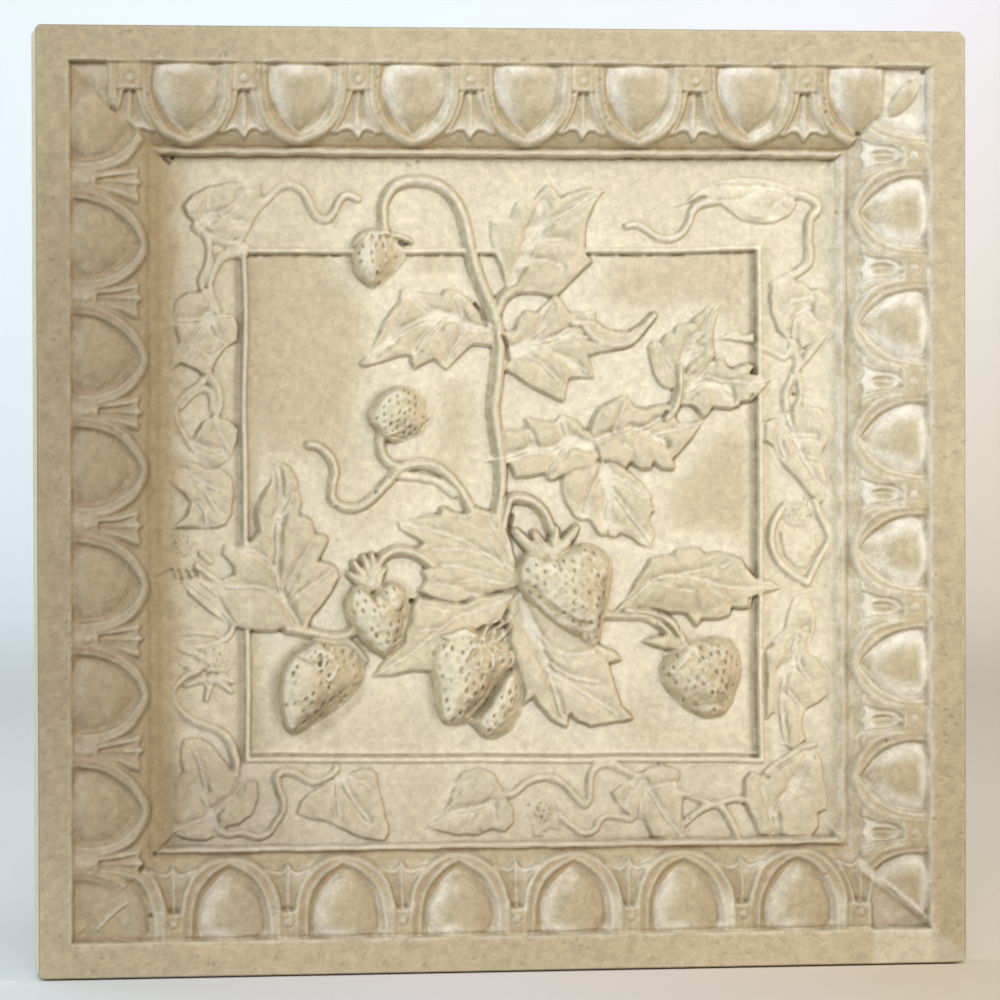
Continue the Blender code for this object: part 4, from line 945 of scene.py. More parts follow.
# heart-shaped, left of the middle
mound([(-48.7, -27.4), (-51.6, -33.7), (-50, -39.5), (-46.2, -45.3), (-41.2, -49.8), (-37.8, -50.9),
       (-32.6, -45.3), (-30.2, -37), (-30.7, -31), (-33.4, -27.2), (-37, -26.6), (-40.4, -29),
       (-42.8, -30), (-45.4, -28)],
      [(-45.4, -31.5, 7.6), (-42.6, -35.5, 9.2), (-40, -41, 9.2), (-38.4, -46.5, 6.6)], seed=3,
      soft=1.0, toward=(1, -0.2))
pits((0.35, -1), 3.1, 0.8, seed=3)
mound([(-40.4, -28.8), (-37, -26.4), (-33.4, -27), (-31, -31), (-32, -36), (-36, -39), (-39.5, -36)],
      [(-36.6, -30, 7.6), (-36, -34, 8.4)], seed=3, soft=1.0)
pits((0.35, -1), 3.1, 0.8, seed=3)
cut([(-42.9, -28.6), (-42.2, -31.5), (-41.4, -34)], 0.8, 1.3)
cut([(-38.5, -43), (-38, -47), (-37.4, -50)], 0.7, 0.5)
for line in ([(-42.6, -27.8), (-45.6, -24), (-48.2, -20.4)],
             [(-42.2, -27.6), (-43.8, -22.6), (-45, -18.6)],
             [(-42, -27.6), (-42, -22), (-42.4, -18)], [(-43, -28), (-46.4, -26), (-49.4, -24)],
             [(-41, -27.6), (-39.6, -24), (-38.4, -22.6)]):
    stem(line, 1.7, 0.7, 1.6, 1.4)
# left, low
mound([(-61.2, -45), (-69.5, -51), (-72.2, -57.8), (-72.6, -65.3), (-71.4, -72), (-67.8, -75.5),
       (-61.2, -72.2), (-54, -67.4), (-47.6, -62.2), (-44.6, -57), (-45.4, -51.2), (-50.6, -46.6)],
      [(-60.4, -50.5, 8.4), (-63.4, -57.5, 10.2), (-66.6, -65.5, 9.2), (-69, -72.5, 5.6)], seed=4,
      steep=0.55, soft=1.05, toward=(1, -0.1), lumps=0.35)
pits((-0.4, -1), 3.2, 0.85, seed=4, keep=0.85)
stem([(-63.6, -49.4), (-60.6, -48.6), (-57, -50.2), (-55, -54), (-57.6, -58)], 1.4, 1.0, 0.7,
     over=True)
cut([(-60.2, -49.6), (-59.9, -51.4), (-60.4, -53.2)], 0.65, 1.8)
cut([(-67, -50.5), (-63.6, -52), (-61.4, -52.2)], 0.6, 1.0)
cut([(-56.6, -59), (-58.6, -58.2)], 0.45, 0.8)
stem([(-56, -47.5), (-51, -47.6), (-48, -51)], 1.2, 0.9, 0.8, over=True)
# the middle pair
mound([(-1.5, -60.3), (1.3, -57), (4, -55), (5.8, -57), (6.8, -60.7), (7.2, -64), (6.8, -68),
       (5.4, -72), (3.4, -75), (0.6, -77), (-2.4, -78), (-4.8, -77.6), (-7, -76.2), (-9.2, -74),
       (-11, -72.3), (-7.8, -69), (-4.2, -65.6)],
      [(2, -58.5, 6), (-1, -65, 7.4), (-4.4, -72.4, 6)], seed=6, soft=1.2, toward=(1, -0.2))
pits((-0.4, -1), 2.9, 0.7, seed=6)
mound([(-23.9, -49.4), (-22.8, -46.4), (-20.1, -43.6), (-13.3, -41), (-8, -42.8), (-4, -45),
       (0.4, -46), (3.7, -48.2), (5.2, -51.6), (3.3, -55), (-0.3, -58.7), (-2.6, -62.7),
       (-5.8, -67.3), (-9, -70.6), (-11.9, -73), (-16, -73.2), (-19.4, -72), (-21.2, -68),
       (-22.1, -63.5), (-22.8, -58.5), (-24.2, -53)],
      [(-11, -48.5, 8.6), (-13, -56, 10.4), (-15.4, -64, 9.4), (-17.6, -70, 6.4)], seed=5, soft=0.95,
      toward=(1, -0.15))
pits((-0.25, -1), 3.3, 0.95, seed=5, keep=0.85)
cut([(3.2, -55.2), (-0.5, -59), (-2.8, -62.9), (-6, -67.4), (-9.4, -70.8)], 0.6, 1.0)
leaf([(-19.8, -44.2), (-15, -42.6), (-12, -41.8), (-8.6, -43.6), (-9.6, -46.2), (-13, -46.6),
      (-17, -45.8)],
     [], edge=5.4, crown=1.2, wall=0.4)
for line in ([(-10.6, -47), (-12.6, -49.6), (-13.4, -52.6)], [(-8.6, -47.2), (-7.6, -51), (-9.6, -54.6)],
             [(-7.6, -47), (-4, -50.5), (-3.6, -54.6)], [(-6.6, -46.6), (-1.4, -48.6), (1.6, -50.4)]):
    stem(line, 1.3, 0.6, 0.9, over=True)
cut([(-9.6, -53.2), (-6.6, -52.2), (-4.6, -53)], 0.4, 0.8)
cut([(-10.8, -48.4), (-11.4, -50.4), (-12.6, -52.6)], 0.45, 1.1)
cut([(-1.8, -49.4), (0.4, -50), (2.8, -50.6)], 0.55, 1.3)
for line in ([(-4, -45.6), (-2, -42), (1.8, -39.6)], [(-2.6, -46), (0.4, -44), (2.6, -41.4)],
             [(-6.6, -44.6), (-5, -41.6), (-2.2, -39.4)]):
    stem(line, 1.5, 0.8, 2.6, over=True)
# the big one right of the middle
mound([(11, -17), (7.4, -18.1), (5.2, -23.8), (6, -29.5), (12, -36.6), (21, -43.4), (28.1, -47.6),
       (31.4, -48), (33.4, -41), (35.6, -31.4), (36.8, -23.8), (34.6, -17.8), (28.6, -14.8),
       (21.4, -15.6), (16.7, -19)],
      [(15.5, -22.5, 9), (20, -26, 11.2), (24.6, -32.5, 11), (28, -39, 8.8), (30, -44, 5.4)], seed=7,
      steep=0.55, soft=0.75, toward=(1, 0.3), lumps=0.4)
pits((0.55, -1), 3.0, 0.8, seed=7)
cut([(17, -17), (17.6, -20), (18.2, -22.8)], 0.9, 1.4)
cut([(8, -27.5), (14, -33.5), (21, -38.6), (27.6, -41)], 1.5, 0.9)
for line in ([(13, -17.5), (8.6, -14.4), (4.6, -10.4)], [(14, -17), (12.4, -14), (11, -11)],
             [(16, -16.8), (17.6, -13), (18, -10)], [(17.6, -17.2), (22, -13.2), (24.6, -9.4)],
             [(16, -17), (16.6, -21), (15.4, -24)]):
    stem(line, 2.1, 0.8, 1.6, 2.4)
# right, low
mound([(60.5, -47.4), (53.2, -53), (53, -59.1), (57.8, -66), (63.6, -70.4), (69.1, -71.8),
       (74.4, -70), (78.2, -62.9), (79.4, -55.3), (77, -47.4), (71.4, -44.8), (66.2, -46.2)],
      [(61.5, -52, 7.6), (65.5, -56.5, 9.2), (68.2, -62.5, 8), (69, -67.5, 5)], seed=8, soft=0.8,
      toward=(1, 0.1), lumps=0.4)
pits((0.25, -1), 2.9, 0.85, seed=8)
leaf([(47.2, -46.7), (51, -45.4), (56, -44.4), (60.8, -47.6), (60, -49.4), (54, -48.8)], [], edge=2.4,
     crown=0.8)
for line in ([(60.6, -47.6), (57, -49.6), (53.6, -51)], [(61.4, -48.4), (59.6, -52), (57.4, -55)],
             [(62.6, -48), (64.6, -51.6), (66.4, -53)], [(62.4, -47.2), (66.6, -47.2), (70, -49.2)]):
    stem(line, 1.4, 0.7, 1.0, over=True)
cut([(64.4, -50.2), (65, -51.8), (64.2, -53)], 0.6, 1.2)


# ---------------------------------------------------------------------------
# Faults of this casting: where the rubber mould tore or the mix did not run, air holes, grime in
# the folds and a hair crack. They stay as they are. Painted shade lies over some parts too.

# gaps, tears and cracks
for line, width, depth in [
    ([(-8.3, 63.5), (-6.6, 60.6), (-5, 56.6)], 0.8, 1.6),
    ([(0.4, 53.2), (1.8, 50), (2.3, 45.6)], 0.8, 1.5), ([(3.4, -5.2), (2.6, -9.3)], 1.1, 1.6),
    ([(-32.2, -38.5), (-32.6, -42)], 0.7, 1.2), ([(-33.6, -44.6), (-35, -46)], 0.8, 1.2),
    ([(82.4, -33), (82.2, -35.3)], 0.8, 1.6), ([(83.3, 33.8), (82.8, 32.2)], 0.7, 1.4),
    ([(54.6, 28.2), (53.4, 25.8)], 0.8, 1.5), ([(-3.5, -43.6), (-1.6, -42.2)], 1.0, 1.5),
    ([(0.2, -44.4), (1.6, -42)], 0.8, 1.4), ([(11.6, -11.2), (13, -14.2)], 0.9, 1.6),
    ([(15.2, -13.4), (16.2, -15.4)], 0.6, 1.2), ([(1.6, -36), (0.2, -38.8)], 0.5, 1.0),
    ([(11.5, -35), (17.4, -40.6)], 0.4, 0.8), ([(96.5, -111.9), (105.2, -111.5)], 0.6, 1.4),
    ([(-59.8, -92.4), (-55.3, -90.2)], 0.5, 1.0), ([(60, 111.3), (63.5, 111.3)], 0.6, 1.2),
    ([(69.5, 111.4), (71.5, 111.4)], 0.6, 1.1), ([(80, 111.5), (82, 111.5)], 0.8, 1.5),
    ([(84.6, 111.5), (89.5, 111.6)], 0.6, 1.3),
    ([(110.6, 110), (110.8, 102), (111.2, 94)], 0.28, 0.5),
    ([(-131.7, 130.9), (-128.3, 127.2), (-125.3, 124.8)], 0.5, 1.0),
    ([(-127.2, 126.2), (-125.4, 124.9)], 0.7, 1.4), ([(58.6, -41.8), (59.8, -45)], 0.6, 1.2),
    ([(-60.9, -50.3), (-60.6, -52.8)], 0.6, 0.9), ([(41, 110.9), (44, 111.1)], 0.5, 0.7),
    ([(47, 110.7), (49.5, 111)], 0.45, 0.7), ([(97, 108), (96.5, 101), (96.8, 94)], 0.25, 0.45),
    ([(-30.8, 109.3), (-28.8, 107.8)], 0.5, 0.8), ([(-109.6, 110.2), (-107.6, 109)], 0.6, 1.0),
]:
    cut(line, width, depth)
# a shallow ring left by a bubble in the upper left of the field, and a drop beside the tall leaf
for place, across, depth in (((-70.9, 38.9), 0.9, 0.35), ((18.0, 106.2), 1.3, 0.5)):
    w = window([place], 4)
    r = np.hypot(relief.u[w] - place[0], (relief.v[w] - place[1]) * 0.75)
    relief.h[w] = relief.h[w] - depth * ridge(r - across, 0.4) + 0.5 * depth * ridge(r, 0.6 * across)
# painted shade on the lower half of the right leaf, and brown on the low left side of the biggest berry
tone([(42, -35.8), (50.3, -30.6), (59.8, -27.2), (70.5, -27.8), (78.9, -30.2), (81.3, -32.6),
      (76.5, -34.9), (69.3, -36.6), (61, -38.3), (57.4, -37.1), (52.6, -40), (46.7, -37)],
     0.75)
tone([(3.8, -18.7), (7.6, -16.6), (12, -29), (18.5, -36.6), (25.1, -36.6), (28.3, -41), (28.3, -47.5),
      (22.9, -44.2), (13, -36.5), (5.4, -28.9)],
     0.8)
# dull patches: the left berry and, as painted shade, its low right side; the right berry; the middle of
# the tall leaf; as a painted shadow, the ground beside the lowest leaf; and one egg below
tone([(-72, -58), (-66, -48), (-52, -46), (-45, -52), (-47, -62), (-60, -76), (-70, -76)], 0.3,
     soft=3.0)
tone([(38, -64), (48, -62), (54, -70), (52, -80), (40, -80)], 0.35, soft=5.0)
tone([(14, -136), (15, -126), (20, -119), (25, -119), (30, -127), (31, -136)], 0.4, soft=3.0)
tone([(-66, -77), (-58, -63), (-50, -57), (-47, -50), (-43, -54), (-45, -64), (-55, -74), (-63, -79)],
     0.95)
tone([(54, -46), (64, -43), (76, -47), (78, -60), (70, -69), (62, -68), (54, -60)], 0.5)
tone([(0, 70), (2, 90), (14, 99), (28, 94), (26, 82), (8, 68)], 0.35, soft=4.0)
# bare cement in the deep corner over the biggest leaf, and along the mitre at the lower right
for a, b, across in (((4.1, -14), (4.4, -18), 3.4), ((113, -116), (138, -136.5), 2.2)):
    w = window([a, b], 5)
    d = line_distance(relief.u[w], relief.v[w], [a, b])
    relief.white[w] = np.maximum(relief.white[w], 0.85 * (1 - ramp(d, 0.4 * across, across)))
# mitre ridge at the lower right, a scraped streak at the lower left
stem([(118.4, -121.9), (129, -130.2), (139.6, -138.2)], 1.6, 1.4, rise=1.4, over=True)
stem([(-123.6, -128.4), (-128, -132), (-132.6, -137)], 0.9, 0.6, rise=0.8, over=True)
# crumbs under the top bead
rng = np.random.default_rng(12)
for _ in range(26):
    place = (rng.uniform(33, 77), rng.uniform(108.9, 111.0))
    size = rng.uniform(0.25, 0.6)
    w = window([place], 2)
    r = np.hypot(relief.u[w] - place[0], relief.v[w] - place[1]) / size
    relief.h[w] = relief.h[w] + 0.5 * size * np.exp(-(r**2)) - 0.25 * ridge(r - 1.5, 0.6)
# torn specks along the left flanks of the top eggs' shells and the upper ones of the right eggs
for eggs, upright, count in ((TOP[1:], False, 7), (RIGHT[1:], True, 4)):
    for egg in eggs:
        for _ in range(count):
            t = rng.uniform(3, 19)
            away = 12.6 * (1 - (t / 24.6) ** 4.2) ** 0.8 + rng.uniform(-1.0, 0.9)
            place = (INNER - t, egg + away) if upright else (egg - away, INNER - t)
            cut([place, place], rng.uniform(0.3, 0.6), rng.uniform(0.5, 1.1))
# air holes
for place, width, depth in [
    ((-41.4, 2.6), 0.8, 1.6), ((-54.2, -2.3), 0.7, 1.4), ((-96.3, 69), 0.6, 1.1),
    ((-95.5, 47.3), 0.7, 0.9), ((-7, -107.9), 0.7, 0.8), ((-71.5, -101.9), 0.6, 1.2),
    ((63.2, -97.3), 0.7, 1.0), ((67.5, -99.3), 0.5, 0.8), ((79, -98.7), 0.6, 1.0),
    ((80.3, -100.4), 0.5, 0.8), ((62, -104.8), 0.7, 1.0), ((14, -108.4), 0.7, 1.0),
    ((49.5, -111), 0.7, 0.8), ((-29.3, -32.8), 1.1, 1.8), ((2.5, -31.7), 0.7, 1.0),
    ((52, -37.4), 0.8, 1.2), ((44, -36.7), 0.6, 1.0), ((33.6, -34.6), 0.6, 1.0),
    ((33.6, -37.6), 0.6, 1.2), ((23.2, -14), 0.8, 1.2), ((111.3, 93.4), 0.7, 1.2),
    ((-106.8, 110.7), 0.9, 1.4), ((-112.4, -105), 0.6, 0.9), ((97.3, 34), 0.9, 1.3),
    ((139, 139.2), 0.9, 1.4), ((134.5, 136.2), 0.8, 1.3), ((117.6, 119), 1.0, 1.4),
    ((-113.6, -113.5), 0.8, 1.4), ((-115.3, -132.8), 1.0, 1.5), ((106.4, -123.2), 0.7, 1.2),
    ((-27, 109.7), 0.8, 0.9), ((-48, -42.8), 1.3, 1.2),
]:
    cut([place, place], width, depth)


# ---------------------------------------------------------------------------
# The casting's face: the relief above as one fine sheet, softened as rubber and cement leave it,
# with sand, pits and rounded corners. Six blocks share their borders, and each carries the wear,
# dirt and painted light and shade as point attributes for the stone to read.
CELLS = 684  # each way over the face
BLOCKS = (3, 2)


def read_raster(table, u, v):
    """The value of a table over the face at places (u, v), in mm."""
    i = np.clip((u + HALF) / STEP, 0, table.shape[1] - 1.001)
    j = np.clip((v + HALF) / STEP, 0, table.shape[0] - 1.001)
    i0, j0 = i.astype(int), j.astype(int)
    return among_four(table, i0, j0, i - i0, j - j0)


def blurred(table, radius):
    """A soft average over radius cells: three box passes each way."""
    span = 2 * radius + 1
    for _ in range(2):
        for _ in range(3):
            padded = np.pad(table, ((radius + 1, radius), (0, 0)), mode="edge")
            total = np.cumsum(padded, axis=0)
            table = (total[span:] - total[:-span]) / span
        table = table.T
    return table


def softened(height, u, v, t):
    """The relief as the rubber gave it: no sharp folds, and softer down the left and in the mitres."""
    for axis in (0, 1, 0, 1):
        height = 0.5 * height + 0.25 * (np.roll(height, 1, axis) + np.roll(height, -1, axis))
    left = ramp(-u, 108, 112) * ramp(t, 0.5, 2.0) * (1 - ramp(np.abs(v) - np.abs(u), -6, 0))
    height = height + 0.4 * left * (blurred(height, 2) - height)
    mitre = ridge(np.abs(u) - np.abs(v), 1.4) * (u * v < 0)
    mitre = mitre * ramp(t, 0.5, 1.5) * (1 - ramp(t, 27, 29))
    mitre = np.maximum(mitre, ridge(u + 112.6, 2.0) * ridge(v - 111.9, 2.0))
    return height + 0.8 * mitre * (blurred(height, 3) - height)


def weathered(height, u, v, t):
    """Sand, pits and the soft unevenness of the cast, and the rounded outer arris of the rim."""
    rng = np.random.default_rng(7)
    rim_zone = ramp(-t, -0.2, 0.8)
    sand = 0.15 * waves(u, v, 1.2, 31) + 0.08 * waves(u, v, 0.7, 32) + 0.14 * waves(u, v, 2.6, 35)
    swell = 0.22 * waves(u, v, 17, 33) + 0.1 * waves(u, v, 7, 34)
    on_berry = ramp(t, 29, 31) * ramp(blurred(height, 3), 3.8, 5.0)
    height = height + on_berry * (0.2 * waves(u, v, 1.7, 36) + 0.12 * waves(u, v, 0.9, 37))
    height = height + sand * (0.45 + 0.75 * rim_zone - 0.2 * ramp(t, 29, 31)) + swell * (1 - rim_zone)
    # most pits are in the rim
    for count, zone, sizes in ((500, "rim", (0.25, 0.75)), (160, "all", (0.2, 0.5))):
        for _ in range(count):
            pu, pv = rng.uniform(-HALF, HALF, 2)
            if zone == "rim" and max(abs(pu), abs(pv)) < INNER:
                side = rng.integers(0, 4)
                near = rng.uniform(INNER, HALF - 1)
                pu, pv = [(near, pv), (-near, pv), (pu, near), (pu, -near)][side]
            size = rng.uniform(*sizes)
            i, j = int((pu + HALF) / STEP), int((pv + HALF) / STEP)
            w = (slice(max(j - 5, 0), j + 6), slice(max(i - 5, 0), i + 6))
            away = np.hypot((u[w] - pu), (v[w] - pv))
            height[w] -= size * 0.7 * np.exp(-((away / size) ** 2))
    arris = 0.8
    edge = np.clip(np.maximum(np.abs(u), np.abs(v)) - (HALF - arris), 0, arris) / arris
    return np.minimum(height, RIM_RISE - arris * (1 - np.sqrt(1 - edge * edge)))


def halved(table):
    """A lattice's table with a new row and column between each two."""
    wide = np.empty((table.shape[0], 2 * table.shape[1] - 1))
    wide[:, ::2] = table
    wide[:, 1::2] = 0.5 * (table[:, 1:] + table[:, :-1])
    both = np.empty((2 * wide.shape[0] - 1, wide.shape[1]))
    both[::2] = wide
    both[1::2] = 0.5 * (wide[1:] + wide[:-1])
    return both


def crowded_lattice(pull):
    """Places of a square lattice that gathers where pull is strong, eased from coarse to fine."""
    ticks = np.linspace(-HALF, HALF, CELLS // 4 + 1)
    pu, pv = np.meshgrid(ticks, ticks)
    for cells, rounds in ((CELLS // 4, 120), (CELLS // 2, 60), (CELLS, 24)):
        if cells > CELLS // 4:
            ticks = np.linspace(-HALF, HALF, cells + 1)
            pu, pv = halved(pu), halved(pv)
        for _ in range(rounds):
            right = read_raster(pull, 0.5 * (pu[:, 1:] + pu[:, :-1]), 0.5 * (pv[:, 1:] + pv[:, :-1]))
            up = read_raster(pull, 0.5 * (pu[1:] + pu[:-1]), 0.5 * (pv[1:] + pv[:-1]))
            total, move_u, move_v = np.zeros_like(pu), np.zeros_like(pu), np.zeros_like(pu)
            # each place moves to the weighted middle of its four neighbours
            for here, there, weight in (
                (np.s_[:, :-1], np.s_[:, 1:], right),
                (np.s_[:, 1:], np.s_[:, :-1], right),
                (np.s_[:-1], np.s_[1:], up),
                (np.s_[1:], np.s_[:-1], up),
            ):
                total[here] += weight
                move_u[here] += weight * pu[there]
                move_v[here] += weight * pv[there]
            new_u, new_v = move_u / total, move_v / total
            # the border stays straight and evenly stepped
            new_u[:, 0], new_u[:, -1] = -HALF, HALF
            new_v[0], new_v[-1] = -HALF, HALF
            new_u[[0, -1]] = ticks
            new_v[:, [0, -1]] = ticks[:, None]
            pu, pv = 0.3 * pu + 0.7 * new_u, 0.3 * pv + 0.7 * new_v
    return pu, pv


def rounded_plan(pu, pv):
    """The square's corners rounded, sharper at the left, and a left side that runs a little narrow."""
    radius = np.where(pu < 0, 1.7, np.where(pv > 0, 3.0, 2.2))
    start = HALF - radius
    a = np.clip(np.abs(pu) - start, 0, None)
    b = np.clip(np.abs(pv) - start, 0, None)
    at_corner = (a > 0) & (b > 0)
    xu = np.where(at_corner, np.sign(pu) * (start + a * np.sqrt(1 - b * b / (2 * radius**2))), pu)
    xv = np.where(at_corner, np.sign(pv) * (start + b * np.sqrt(1 - a * a / (2 * radius**2))), pv)
    return xu + 0.9 * np.clip((-xu - 142) / 10.5, 0, 1), xv


u, v, t = relief.u, relief.v, relief.t
height = weathered(softened(relief.h, u, v, t), u, v, t)
gv, gu = np.gradient(height, STEP)
slope = np.hypot(gu, gv)

# the lattice crowds where the relief is steep or finely worked
bend = np.hypot(*np.gradient(blurred(slope, 1), STEP))
worked = blurred(((height > 4.6) & (t > 31)).astype(float), 2) + 0.5 * blurred(relief.pale, 3)
steep = blurred(np.minimum(slope, 2.5) + 0.5 * np.minimum(bend, 2.5), 2)
pu, pv = crowded_lattice(1 + 1.1 * steep + 1.2 * worked)
xu, xv = rounded_plan(pu, pv)
place = np.stack([xu, -(FRONT + read_raster(height, pu, pv)), xv], axis=-1) * MM
slope_u, slope_v = read_raster(gu, pu, pv), read_raster(gv, pu, pv)
normal = np.stack([-slope_u, -np.ones_like(slope_u), -slope_v], axis=-1)
normal /= np.linalg.norm(normal, axis=-1, keepdims=True)

# where the wear, the dirt and the painted light and shade lie: first the places that they go by
panel_zone = ramp(t, 29, 31)
border_zone = 1 - panel_zone
in_border = ramp(t, -0.5, 0.5)
near, fine = blurred(height, 1), blurred(height, 4)
standing = ((height > 1.1) & (t > 30.5)).astype(float)
stands = blurred(standing, 24)
low_ground = panel_zone * (1 - ramp(height, 0.5, 1.2))
low_bead = (v < -np.abs(u)) * ramp(t, 27.3, 28.3) * ramp(-t, -33, -31)
broad_dip = ramp(blurred(height, 9) - height, 0.3, 1.8)
# how far a face turns up and to the left, towards the light (on the right border, any slope); painted light
# and shade follow it
facing_light = 0.75 * gu - 0.65 * gv
facing_light = np.where((u > np.abs(v)) & (t < 29), 0.8 * slope, facing_light)
berry = panel_zone * ramp(height, 3.6, 5.2)
berry_near = ramp(blurred(berry, 8), 0.0, 0.25)
around = blurred(berry, 9)
left_face = ramp(gu, 0.25, 1.0) * (1 - berry) * (1 - 0.5 * berry_near) + 0.15 * ramp(gu, 1.3, 2.8) * berry
right_face = ramp(-gu, 0.3, 1.3) * (1 - berry) + 1.2 * ramp(-blurred(gu, 4), 0.0, 0.6) * berry
# painted shadows on the low ground left and right of the berries
left_shadow = low_ground * ramp(np.roll(around, -9, axis=1), 0.02, 0.5)
right_shadow = low_ground * ramp(np.roll(around, 9, axis=1), 0.02, 0.5)
# how far a berry's side turns down and right, away from the light
turned_away = blurred(0.8 * gv - gu, 4)
masks = {
    # grime and painted shade in the folds, less on the berries and along the low bead's left half
    "folds_grime_and_shade": (0.8 * ramp(fine - height, 0.3, 1.7) + 0.45 * ramp(near - height, 0.06, 0.3))
    * (1 - 0.95 * berry_near) * (0.6 + 0.4 * panel_zone) * (1 - low_bead * (0.85 - 0.45 * ramp(u, -10, 60)))
    + 0.4 * berry * ramp(near - height, 0.06, 0.3),
    # grime in the berries' seed pits
    "pitted": relief.pitted,
    # rubbed crests, and those of the stems and veins
    "crest": ramp(height - fine, 0.08, 0.5) * (1 - 0.75 * panel_zone * (1 - ramp(height, 4, 5)))
    * (1 - (0.45 + 0.1 * ramp(-u, 110, 116)) * border_zone),
    "pale": relief.pale,
    # painted shade: olive on walls that face left, up or down, beside the line frame, on the border's steep
    # slopes and in shadows left of the berries; buff on walls that face right, beside the line frame and in
    # shadows right of them
    "steep": panel_zone * (left_face + 0.45 * (1 - left_face) * ramp(np.abs(gv), 0.5, 1.6))
    + relief.painted_cool_light * low_ground
    + 0.8 * left_shadow
    + 0.45 * border_zone * ramp(slope, 0.5, 2.0),
    "painted_warm_light": panel_zone * right_face + relief.painted_warm_light * low_ground + 0.8 * right_shadow * (1 - left_shadow),
    # the leaves' two tones
    "leafy": panel_zone * ramp(height, 0.9, 1.5) * (0.5 + 0.5 * ramp(t, 56, 62)),
    # white bloom near the raised work, and a painted highlight on the border's faces turned up and left to
    # the light; bare tan ground elsewhere
    "bloom_and_painted_light": 0.65 * low_ground * ramp(stands, 0.06, 0.55) * (1 - left_shadow)
    + 0.85 * ramp(facing_light, 0.1, 0.7) * border_zone * in_border * (1 - 0.5 * ramp(-u, 60, 130)),
    "open": low_ground * (1 - ramp(stands, 0.0, 0.22))
    * (0.3 + 0.7 * ramp(t, 58, 62) * ramp(v, -66, -46)),
    "rim": border_zone,
    # painted shade on the border's faces turned away from the light and in its broad dips, and grime with
    # painted shade in the channel under the dart feet
    "dust_and_painted_shade": (0.5 * broad_dip * ramp(facing_light, 0.5, -0.1) + 0.45 * ramp(-facing_light, 0.2, 0.9)
              + 0.8 * ramp(t, 23.5, 25.0) * ramp(-t, -28.5, -26.5))
    * border_zone * in_border * (1 - 0.75 * ramp(u - np.abs(v), -2, 2)),
    # whitish bare cement and border, and a painted highlight on the left half of the low bead
    "white": relief.white + 0.5 * low_bead * (1 - ramp(u, -40, 0)),
    # brown patches of grime and painted shade, and painted shade on the berries' sides turned down and
    # right
    "brown": relief.brown * (0.8 + 0.4 * waves(u, v, 3, 93)) + 0.9 * berry * ramp(turned_away, 0.5, 1.6),
    # ochre down the left cove, and a little over the left border
    "ochre": 0.15 * ramp(-u, 111, 114) * in_border
    + 0.65 * ramp(-u + 2 * waves(u, v, 6, 94), 100, 109) * (1 - ramp(-u, 113, 124)) * ramp(t, 27.0, 28.5),
    # painted shade: darker down the left side and along the foot, a little at the lower right, and on the
    # berries' sides that are turned down and right
    "shade": 0.7 * berry * ramp(turned_away, 0.6, 1.8)
    + 0.9 * ramp(-u + 7 * waves(u, v, 40, 91), 20, 150) * (1 - 0.4 * ramp(np.abs(v), 60, 150))
    + 0.35 * ramp(-v, 40, 130) * (1 - 0.6 * ramp(-u, 80, 150))
    * (1 - 0.7 * ramp(-t, -1, 1) * ramp(np.abs(u), 30, 80))
    + 0.3 * ramp(u, 140, 144) * ramp(-v, -20, 60)
    + 0.3 * ramp(u, 60, 150) * ramp(-v, 0, 120) * (1 - 0.5 * ramp(-t, -1, 1))
    + (0.25 + 0.25 * ramp(-u, 60, 100)) * (1 - 0.8 * ramp(u, 60, 85)) * ramp(-v, 76, 96) * panel_zone,
    # the berries' sides lit as painted light, the upper right brighter as painted light, and a brighter
    # patch under the leaves
    "lit": berry * ramp(blurred(gu - 0.3 * gv, 4), -0.1, 0.5) * (1 - 0.7 * ramp(blurred(gu, 2), 1.2, 2.4)),
    "light": ramp(0.6 * u + 0.8 * v, -20, 140) + 0.9 * ridge(np.hypot(u - 21, 0.8 * (v + 60)), 17),
}
mask_values = {name: read_raster(np.clip(table, 0, 1), pu, pv) for name, table in masks.items()}

# six blocks of the lattice, a to c from the left and 1 and 2 from below
pieces = []
for bi in range(BLOCKS[0]):
    for bj in range(BLOCKS[1]):
        i0, i1 = bi * CELLS // BLOCKS[0], (bi + 1) * CELLS // BLOCKS[0]
        j0, j1 = bj * CELLS // BLOCKS[1], (bj + 1) * CELLS // BLOCKS[1]
        bm = bmesh.new()
        bmesh.ops.create_grid(bm, x_segments=i1 - i0, y_segments=j1 - j0, size=0.5)
        mesh = bpy.data.meshes.new(f"face_{'abc'[bi]}{bj + 1}")
        bm.to_mesh(mesh)
        bm.free()
        spots = np.empty(len(mesh.vertices) * 3)
        mesh.vertices.foreach_get("co", spots)
        spots = spots.reshape(-1, 3)
        column = i0 + np.rint((spots[:, 0] + 0.5) * (i1 - i0)).astype(int)
        row = j0 + np.rint((spots[:, 1] + 0.5) * (j1 - j0)).astype(int)
        mesh.vertices.foreach_set("co", place[row, column].ravel())
        mesh.update()
        for name, values in mask_values.items():
            layer = mesh.attributes.new(name, "FLOAT", "POINT")
            layer.data.foreach_set("value", values[row, column].astype(np.float32))
        mesh.polygons.foreach_set("use_smooth", np.ones(len(mesh.polygons), bool))
        mesh.normals_split_custom_set_from_vertices(normal[row, column])
        piece = bpy.data.objects.new(mesh.name, mesh)
        bpy.context.collection.objects.link(piece)
        pieces.append(piece)


# ---------------------------------------------------------------------------
# Sides and back of the same casting: plain, drawn in a little towards the wall so that it leaves
# the mould, and flat behind where the bed of adhesive holds it.
DRAFT = 0.0006  # how far each side is drawn in at the wall
DRAFT_FROM = 0.0245
DEPTHS = [0.0243, 0.0236, 0.020, 0.016, 0.012, 0.008, 0.004, 0.0006, 0.0]
